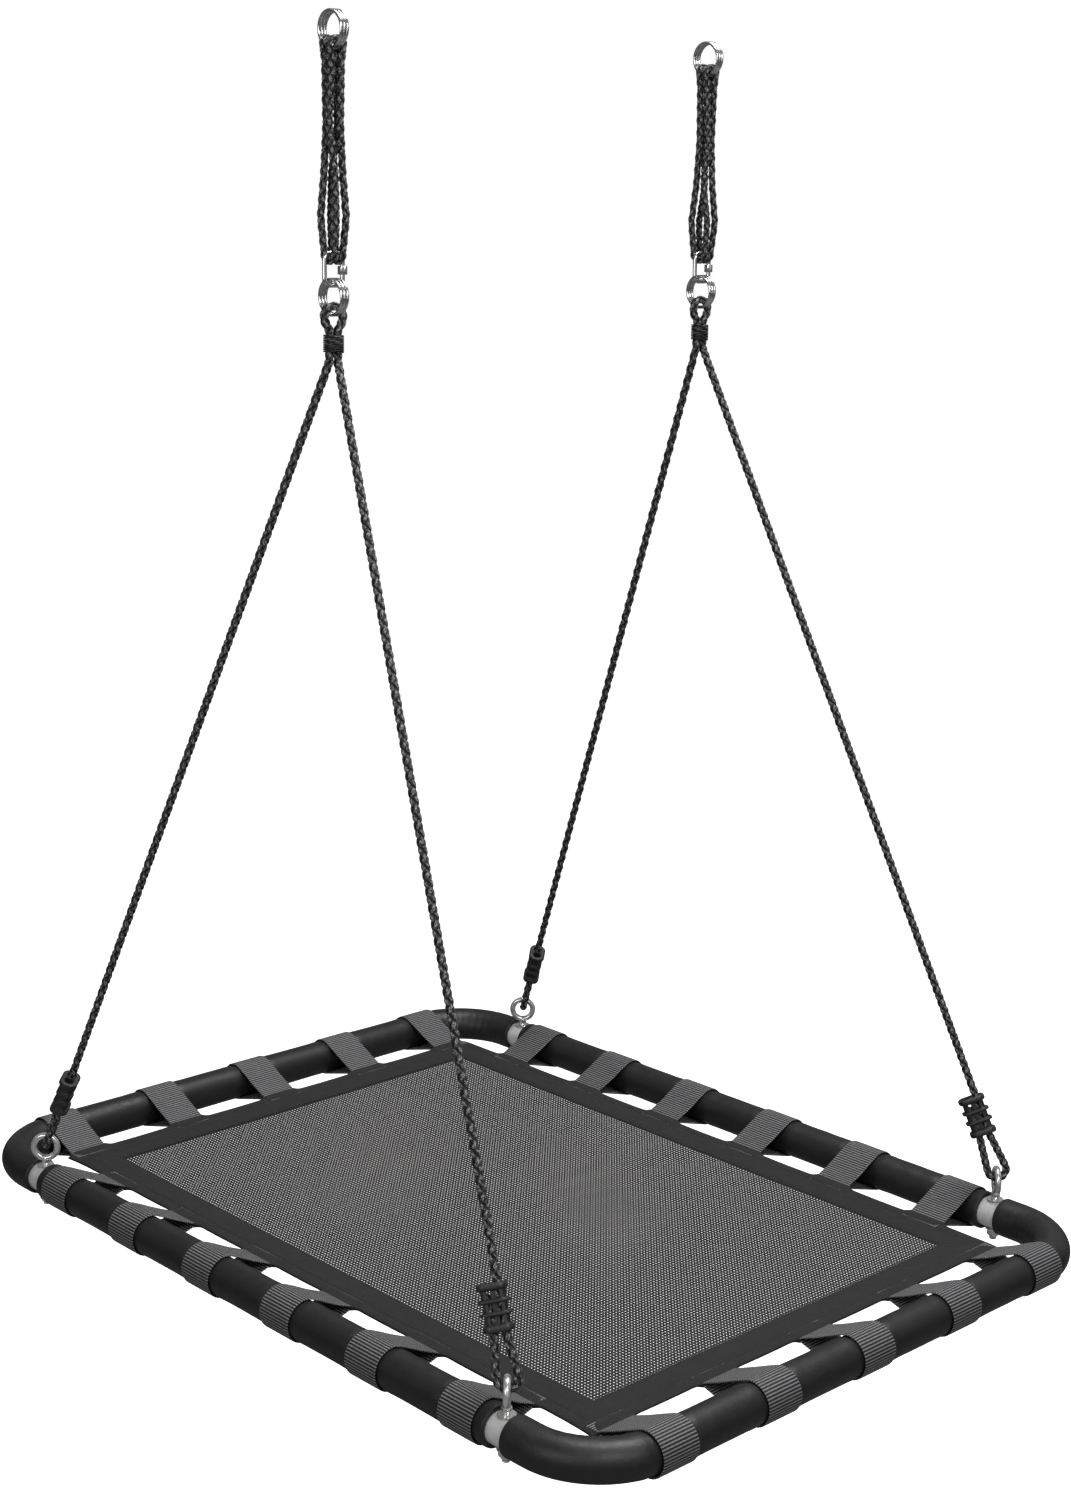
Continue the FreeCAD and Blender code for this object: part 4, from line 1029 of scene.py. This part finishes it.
def make_links():
    """Wire links, each closed by its screw sleeve."""
    for side in SIDES:
        tag, y = SIDE_NAME[side], side * RING_Y
        name, sleeve = f"wire_link_{tag}", f"screw_sleeve_{tag}"
        wire = sharpen(link_skin(y).mesh(name), 50)
        add_piece(name, wire, "ring", "links", "plated_ring", f"link_{tag}")
        shell = sharpen(screw_sleeve_skin(y, tag).mesh(sleeve))
        add_piece(sleeve, shell, "ring", f"sleeve_{tag}", "plated_ring", f"link_sleeve_{tag}")


# ---------------------------------------------------------------- ropes


TAIL_REACH, LOOP_PLAY = 0.8, 1.8
FAN_FOOT, FAN_TOP = 2.6, 12.6  # above the whipping, where the two legs spread to the ring's sides
TURN_EASE = 3.0


def eye_normal(end):
    """Axis of an eye's ring."""
    turn = -end * EYE_TURN
    return np.array([-math.sin(turn), math.cos(turn), 0.0])


def leg_top(side, end):
    """Where a leg leaves the whipping."""
    return np.array([0, side * RING_Y + end * (ROPE_R + TOUCH), LEG_TOP_Z])


def eye_pivot(side, end):
    """Centre of the eye's wire at the side that the leg pulls towards."""
    centre = np.array([end * BOLT_X, side * RAIL_Y, EYE_Z])
    pull, normal = leg_top(side, end) - centre, eye_normal(end)
    return centre + unit(pull - normal * (normal @ pull)) * EYE_R


def leg_axes(side, end):
    """Directions of a leg: along it, across its loop, along its main strand and beside that."""
    pivot, top = eye_pivot(side, end), leg_top(side, end)
    along, normal = unit(top - pivot), eye_normal(end)
    across = unit(normal - along * (normal @ along))
    lean = math.asin(ADJ_GAP / 2 / np.linalg.norm(top - pivot))
    main = along * math.cos(lean) - across * math.sin(lean)
    beside = across * math.cos(lean) + along * math.sin(lean)
    return along, across, main, beside


def leg_corners(side, end):
    """Corners of one leg: top, adjuster, two below the eye, adjuster again and the tail's end."""
    pivot, top = eye_pivot(side, end), leg_top(side, end)
    along, across, main, beside = leg_axes(side, end)
    mouth = top - main * (np.linalg.norm(top - pivot) - ADJ_LIFT)
    tail_mouth = mouth - beside * ADJ_GAP
    tail_end = tail_mouth + main * (ADJ_HEIGHT * TAIL_REACH)
    radius = EYE_WIRE / 2 + ROPE_R + LOOP_PLAY

    def below(start, sense):
        """Corner under the eye on the way from an adjuster hole round the eye's wire."""
        flat = np.array([(start - pivot) @ across, (start - pivot) @ along])
        heading = math.atan2(flat[1], flat[0]) - sense * math.acos(radius / np.linalg.norm(flat))
        touch = radius * np.array([math.cos(heading), math.sin(heading)])
        reach = flat[0] + (touch[0] - flat[0]) * (-radius - flat[1]) / (touch[1] - flat[1])
        return pivot + across * reach - along * radius

    corners = [top, mouth, below(mouth, 1), below(tail_mouth, -1), tail_mouth, tail_end]
    return corners, [KINK_R, KINK_R, radius, radius, KINK_R, 0.0]


STRANDS_EACH_WAY = 3
STRAND_THICK, STRAND_WIDE, STRAND_LIFT = 0.32, 0.5, 0.2  # shares of the rope's radius
ROPE_LAY, HANGER_LAY = 46.0, 38.0
ROPE_STEP, HANGER_STEP = 1.35, 1.15


def braid_strands(path, closed, radius, lay):
    """Strands of a round braid, over one and under one: ring stacks and their cloth lengths."""
    _, normals, across = directions(path, closed)
    reach = lengths(path)
    total = reach[-1] + (np.linalg.norm(path[0] - path[-1]) if closed else 0)
    turn = 2 * math.pi * max(1, round(total / lay)) * reach / total
    thick, wide, lift = STRAND_THICK * radius, STRAND_WIDE * radius, STRAND_LIFT * radius
    section = full_turn(8)[None, :, None]
    strands = []
    for way in (1, -1):
        for number in range(STRANDS_EACH_WAY):
            angle = (way * turn + 2 * math.pi * number / STRANDS_EACH_WAY)[:, None]
            radial = np.cos(angle) * normals + np.sin(angle) * across
            height = radius - thick - lift + way * lift * np.cos(STRANDS_EACH_WAY * turn)[:, None]
            spots = path + radial * height
            aside = unit(np.cross(headings(spots, closed), radial))
            rings = spots[:, None] + np.cos(section) * aside[:, None] * wide
            rings = rings + np.sin(section) * radial[:, None] * thick
            crossings = STRANDS_EACH_WAY * turn / (2 * math.pi) + (0.5 if way < 0 else 0.0)
            strands.append((rings, crossings * CROSSING))
    return strands


def add_rope(skin, strands, path, radius, span=slice(None), closed=False):
    """The strands over a stretch of a rope, and the core inside them."""
    for rings, cloth in strands:
        skin.loft(rings[span], closed, v=cloth[span])
    return tube(skin, path[span], radius * 0.5, 6, closed)


def swing_rope_path(side):
    """From the right-hand tail, up one leg, through the lower ring and down the left-hand leg."""
    inside = RING_OD / 2 - RING_WIRE
    spread = RING_PITCH + RING_WIRE / 2 + ROPE_GAP + ROPE_R
    crossing = LOWER_Z - inside + ROPE_R + ROPE_GAP
    bend = spread - TURN_EASE
    right_points, right_radii = leg_corners(side, RIGHT)
    left_points, left_radii = leg_corners(side, LEFT)
    points, radii = right_points[::-1], right_radii[::-1]
    for end in ENDS[::-1]:
        leg_y, held_y = side * RING_Y + end * spread, leg_top(side, end)[1]
        climb = [(0, held_y, WHIP_TOP + FAN_FOOT), (0, leg_y, WHIP_TOP + FAN_TOP), (0, leg_y, crossing)]
        points = points + (climb if end == RIGHT else climb[::-1])
        radii = radii + [bend] * 3
    return rounded(points + left_points, radii + left_radii, ROPE_STEP)


def make_swing_ropes():
    """Each rope is one braid, split under the eyes into a middle piece and two tails."""
    for side in SIDES:
        tag = SIDE_NAME[side]
        path = swing_rope_path(side)
        strands = braid_strands(path, False, ROPE_R, ROPE_LAY)
        half = len(path) // 2
        right_cut, left_cut = np.argmin(path[:half, 2]), half + np.argmin(path[half:, 2])
        skin = add_rope(Skin(), strands, path, ROPE_R, slice(right_cut, left_cut + 1))
        add_piece(f"rope_{tag}", skin, "rope", f"ropes_{tag}", "braided_rope", f"swing_rope_{tag}")
        for end, span in ((RIGHT, slice(0, right_cut + 1)), (LEFT, slice(left_cut, len(path)))):
            place = f"{tag}_{END_NAME[end]}"
            skin = add_rope(Skin(), strands, path, ROPE_R, span)
            tail = add_piece(f"rope_tail_{place}", skin, "rope", None, "braided_rope")
            foot, mouth = leg_corners(side, end)[0][3:5]
            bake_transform(tail)


# share of the way down, half width along x and along y, and twist in degrees of a hanger's four parts
HANGER_STATIONS = [(0.09, 4.2, 6.2, 0), (0.38, 4.6, 5.4, 22), (0.6, 6.5, 5.6, -12), (0.8, 11.5, 6.0, 0)]


def hanger_strand(side, across, along, spread, bottom):
    """Way points of one of a hanger's four parts, from its top ring down to the link."""
    pair = HANGER_R + 0.2
    inside = RING_OD / 2 - RING_WIRE - HANGER_R - ROPE_GAP
    crossing = TOP_Z - math.sqrt(inside**2 - pair**2)
    foot = LINK_TOP - bottom
    points = [(across * pair, along * spread, crossing)]
    for share, half_x, half_y, degrees in HANGER_STATIONS:
        x, y = turned(across * half_x, along * half_y, math.radians(degrees * side))
        points.append((x, y, crossing + (foot - crossing) * share))
    points.append((across * bottom, along * pair, foot))
    radii = [(spread - 2.7) * 0.8, 30, 60, 60, 24, bottom * 0.9]
    return [(x, y + side * RING_Y, z) for x, y, z in points], radii


def make_hanger_ropes():
    """Endless rope doubled through the top rings and round the link."""
    spread = RING_PITCH + RING_WIRE / 2 + ROPE_GAP + HANGER_R
    bottom = LINK_WIRE / 2 + HANGER_R + 1.0
    for side in SIDES:
        points, radii = [], []
        for across, along in QUARTERS:
            part, part_radii = hanger_strand(side, across, along, spread, bottom)
            way = across * along  # down one part and up the next
            points += part[::way]
            radii += part_radii[::way]
        path = rounded(points, radii, HANGER_STEP, closed=True)
        strands = braid_strands(path, True, HANGER_R, HANGER_LAY)
        skin = add_rope(Skin(), strands, path, HANGER_R, closed=True)
        tag = SIDE_NAME[side]
        add_piece(f"hanger_{tag}", skin, "rope", "hangers", "braided_rope", f"hanger_rope_{tag}")


TWINE_R = 0.78


def make_whippings():
    """Tight turns of twine round both legs just below the lower rings."""
    turns = int((WHIP_TOP - WHIP_FOOT - 2 * TWINE_R) / (2 * TWINE_R))
    radius, half = ROPE_R + TWINE_R * 0.9, ROPE_R + TOUCH
    angle = full_turn(48)
    loop = np.stack([radius * np.cos(angle), radius * np.sin(angle) + half * np.sign(np.sin(angle))], 1)
    coil = np.tile(loop, (turns, 1))
    climb = np.linspace(WHIP_FOOT + TWINE_R, WHIP_TOP - TWINE_R, len(coil))
    for side in SIDES:
        tag = SIDE_NAME[side]
        path = np.stack([coil[:, 0], coil[:, 1] + side * RING_Y, climb], 1)
        skin = tube(Skin(), respace(path, 1.3), TWINE_R, 8)
        add_piece(f"twine_{tag}", skin, "whipping", f"ropes_{tag}", "whipping_cord", f"whipping_{tag}")


# ---------------------------------------------------------------- adjusters


def rounded_rectangle(width, depth, corner, height, inset=0.0):
    """A ring with round corners, drawn in by an inset."""
    width, depth = width - 2 * inset, depth - 2 * inset
    corner = min(max(corner - inset, 0.5), depth / 2 - 0.01)
    points = []
    for number, (sign_x, sign_y) in enumerate(QUARTERS):
        for turn in (number + np.linspace(0, 1, 13)) * math.pi / 2:
            x = sign_x * (width / 2 - corner) + corner * math.cos(turn)
            points.append((x, sign_y * (depth / 2 - corner) + corner * math.sin(turn), height))
    return points


def adjuster_decks(bay):
    """The end flanges and the ribs: foot, top, (width, depth, corner) and edge radius of each."""
    decks = [(0.0, FLANGE, (ADJ_WIDTH, ADJ_DEPTH, 8.0), 1.6)]
    for number in range(RIBS):
        foot = FLANGE + (number + 1) * bay + number * RIB
        decks.append((foot, foot + RIB, (ADJ_WIDTH, ADJ_DEPTH - 2, 5.0), 0.8))
    decks.append((ADJ_HEIGHT - FLANGE, ADJ_HEIGHT, (ADJ_WIDTH, ADJ_DEPTH, 8.0), 1.9))
    return decks


def deck_rings(foot, top, shape, edge, core):
    """Rings of one flange or rib with rounded edges, with the ends of the core that meet it."""
    angles = [math.radians(degrees) for degrees in (0, 25, 55, 90)]
    curl = [(edge * (1 - math.cos(angle)), edge * (1 - math.sin(angle))) for angle in angles]
    rings = [rounded_rectangle(*shape, foot + rise, inset) for rise, inset in curl]
    rings += [rounded_rectangle(*shape, top - rise, inset) for rise, inset in curl[::-1]]
    below = [rounded_rectangle(*core, foot - 0.6), rounded_rectangle(*core, foot, -0.5)]
    above = [rounded_rectangle(*core, top, -0.5), rounded_rectangle(*core, top + 0.6)]
    return (below if foot > 0 else []) + rings + (above if top < ADJ_HEIGHT else [])


def adjuster_mesh():
    """Moulded body with end flanges, ribs, windows and two rope holes, in its own frame."""
    core = (ADJ_GAP + 2 * ROPE_R + 2.2, 2 * ROPE_R + 4.4, 5.0)
    bay = (ADJ_HEIGHT - 2 * FLANGE - RIBS * RIB) / (RIBS + 1)
    stack = []
    for deck in adjuster_decks(bay):
        stack += deck_rings(*deck, core)
    mesh = Skin().loft(stack).mesh("adjuster", packed=False)
    body = add_object("adjuster", mesh, MATERIALS["adjuster"])
    bore, flare = ROPE_R + 0.1, ROPE_R + 0.6
    profile = [(flare, -1.0), (flare, 0.0), (bore, 0.6)]
    profile += [(bore, ADJ_HEIGHT - 0.6), (flare, ADJ_HEIGHT), (flare, ADJ_HEIGHT + 1)]
    for hole in ENDS:
        carve(body, lathe(Skin(), profile, centre=(hole * ADJ_GAP / 2, 0, 0)), "DIFFERENCE")
    for face in SIDES:
        middle_y = face * (core[1] / 2 - WINDOW_EDGE)
        for number in range(RIBS + 1):
            foot = FLANGE + number * (bay + RIB)
            heights = foot + WINDOW_EDGE, foot + bay - WINDOW_EDGE
            window = [rounded_rectangle(WINDOW_WIDTH, WINDOW_DEPTH, WINDOW_CORNER, z) for z in heights]
            carve(body, Skin().loft(np.array(window) + np.array([0, middle_y, 0])), "DIFFERENCE")
    mesh = body.data
    bpy.data.objects.remove(body)
    return sharpen(mesh, 32)


def make_adjusters():
    """The adjuster at its place on each leg."""
    pattern = adjuster_mesh()
    for side, end in CORNERS:
        tag = f"{SIDE_NAME[side]}_{END_NAME[end]}"
        _, _, main, beside = leg_axes(side, end)
        mouth = leg_corners(side, end)[0][1]
        where = Matrix(np.stack([beside, np.cross(main, beside), main], 1).tolist()).to_4x4()
        where.translation = Vector((mouth - beside * ADJ_GAP / 2 + main * ADJ_START) * MM)
        mesh = pattern.copy()
        mesh.transform(where)
        add_piece(f"slider_{tag}", mesh, "adjuster", f"adjuster_{tag}", "adjuster_plastic", f"adjuster_{tag}")


# ---------------------------------------------------------------- frame tubes stay as the CAD has them


def dress_tubes():
    """Gives the four frame tubes their steel."""
    for name in ("side_tube_front", "side_tube_back", "end_tube_left", "end_tube_right"):
        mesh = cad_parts[name].data
        mesh.materials.clear()
        mesh.materials.append(MATERIALS["tube"])


# ---------------------------------------------------------------- floor, light and camera

FLOOR_Z = -0.6  # metres, as are the lamps' places
LIT_SPOT = (0, 0, 0.2)


def floor_finish():
    """White paper to the camera, and a greyer one to the light that bounces off it."""
    finish = Finish("floor_paper", (0.9, 0.9, 0.9), 0.9, Emission_Color=(1, 1, 1, 1))
    seen = finish.make("ShaderNodeLightPath", output="Is Camera Ray")
    finish.plug(finish.shader.inputs["Emission Strength"], seen)
    finish.tint(seen, 0.25, 1.0)
    finish.see_through_from_behind()
    return finish.material


def make_floor():
    """A pale sheet that runs into the white behind it."""
    half = 20.0
    mesh = bpy.data.meshes.new("floor")
    corners = [(x * half, y * half, FLOOR_Z) for x, y in QUARTERS]
    mesh.from_pydata(corners, [], [(2, 3, 0, 1)])
    add_object("floor", mesh, floor_finish())


def soft_light(name, spot, size, power):
    """A rectangular lamp that faces the swing."""
    lamp = bpy.data.lights.new(name, "AREA")
    lamp.shape = "RECTANGLE"
    lamp.size, lamp.size_y = size
    lamp.energy = power
    item = bpy.data.objects.new(name, lamp)
    item.location = spot
    item.rotation_euler = (Vector(LIT_SPOT) - Vector(spot)).to_track_quat("-Z", "Y").to_euler()
    bpy.context.scene.collection.objects.link(item)


def make_world():
    """White behind the object; what the object reflects is a dim room with lighter patches."""
    world = bpy.data.worlds.new("studio")
    world.use_nodes = True
    nodes, links = world.node_tree.nodes, world.node_tree.links
    background = nodes["Background"]
    background.inputs["Color"].default_value = (1, 1, 1, 1)
    heading = nodes.new("ShaderNodeTexCoord")
    patches = nodes.new("ShaderNodeTexNoise")
    room = nodes.new("ShaderNodeMapRange")
    path = nodes.new("ShaderNodeLightPath")
    seen = nodes.new("ShaderNodeMix")
    settings = {
        patches: {"Scale": 1.7, "Detail": 1.0},
        room: {"From Min": 0.42, "From Max": 0.6, "To Min": 0.02, "To Max": 0.42},
        seen: {"B": 1.0},
    }
    for node, inputs in settings.items():
        for socket, value in inputs.items():
            node.inputs[socket].default_value = value
    links.new(heading.outputs["Generated"], patches.inputs["Vector"])
    links.new(patches.outputs[0], room.inputs[0])
    links.new(path.outputs["Is Camera Ray"], seen.inputs["Factor"])
    links.new(room.outputs[0], seen.inputs["A"])
    links.new(seen.outputs["Result"], background.inputs["Strength"])
    bpy.context.scene.world = world


def make_lights():
    """The room and three soft lamps."""
    make_world()
    soft_light("top", (0.2, 0.6, 2.9), (1.5, 1.3), 70)
    soft_light("side", (2.5, -1.0, 2.2), (1.0, 1.0), 32)
    soft_light("front", (0.6, -3.0, 1.2), (1.6, 1.0), 16)


CAMERA_SPOT = (1796.2, -1684.9, 1059.2)
CAMERA_YAW, CAMERA_PITCH, CAMERA_ROLL = -46.524, -12.65, 0.969
CAMERA_FOCUS = 1.598  # focal length over the long side of the frame


def make_camera():
    """A camera at the viewing angle of a person who stands off the front right corner."""
    yaw, pitch, roll = (math.radians(value) for value in (CAMERA_YAW, CAMERA_PITCH, CAMERA_ROLL))
    look = np.array([math.sin(yaw) * math.cos(pitch), math.cos(yaw) * math.cos(pitch), math.sin(pitch)])
    right = np.array([math.cos(yaw), -math.sin(yaw), 0.0])
    up = np.cross(right, look)
    right, up = right * math.cos(roll) + up * math.sin(roll), up * math.cos(roll) - right * math.sin(roll)
    camera = bpy.data.cameras.new("camera")
    camera.sensor_width = 36.0
    camera.lens = CAMERA_FOCUS * camera.sensor_width
    item = bpy.data.objects.new("camera", camera)
    turn = Matrix([right, up, -look]).transposed().to_4x4()
    turn.translation = Vector(CAMERA_SPOT) * MM
    item.matrix_world = turn
    bpy.context.scene.collection.objects.link(item)
    bpy.context.scene.camera = item


# ---------------------------------------------------------------- whole scene

make_mesh_cloth()
make_border()
make_border_stitches()
make_straps()
make_foam()
make_eye_bolts()
make_small_hardware()
make_rings()
make_links()
make_swing_ropes()
make_hanger_ropes()
make_whippings()
make_adjusters()
dress_tubes()
make_floor()
make_lights()
make_camera()
bpy.context.scene.view_settings.view_transform = "Standard"
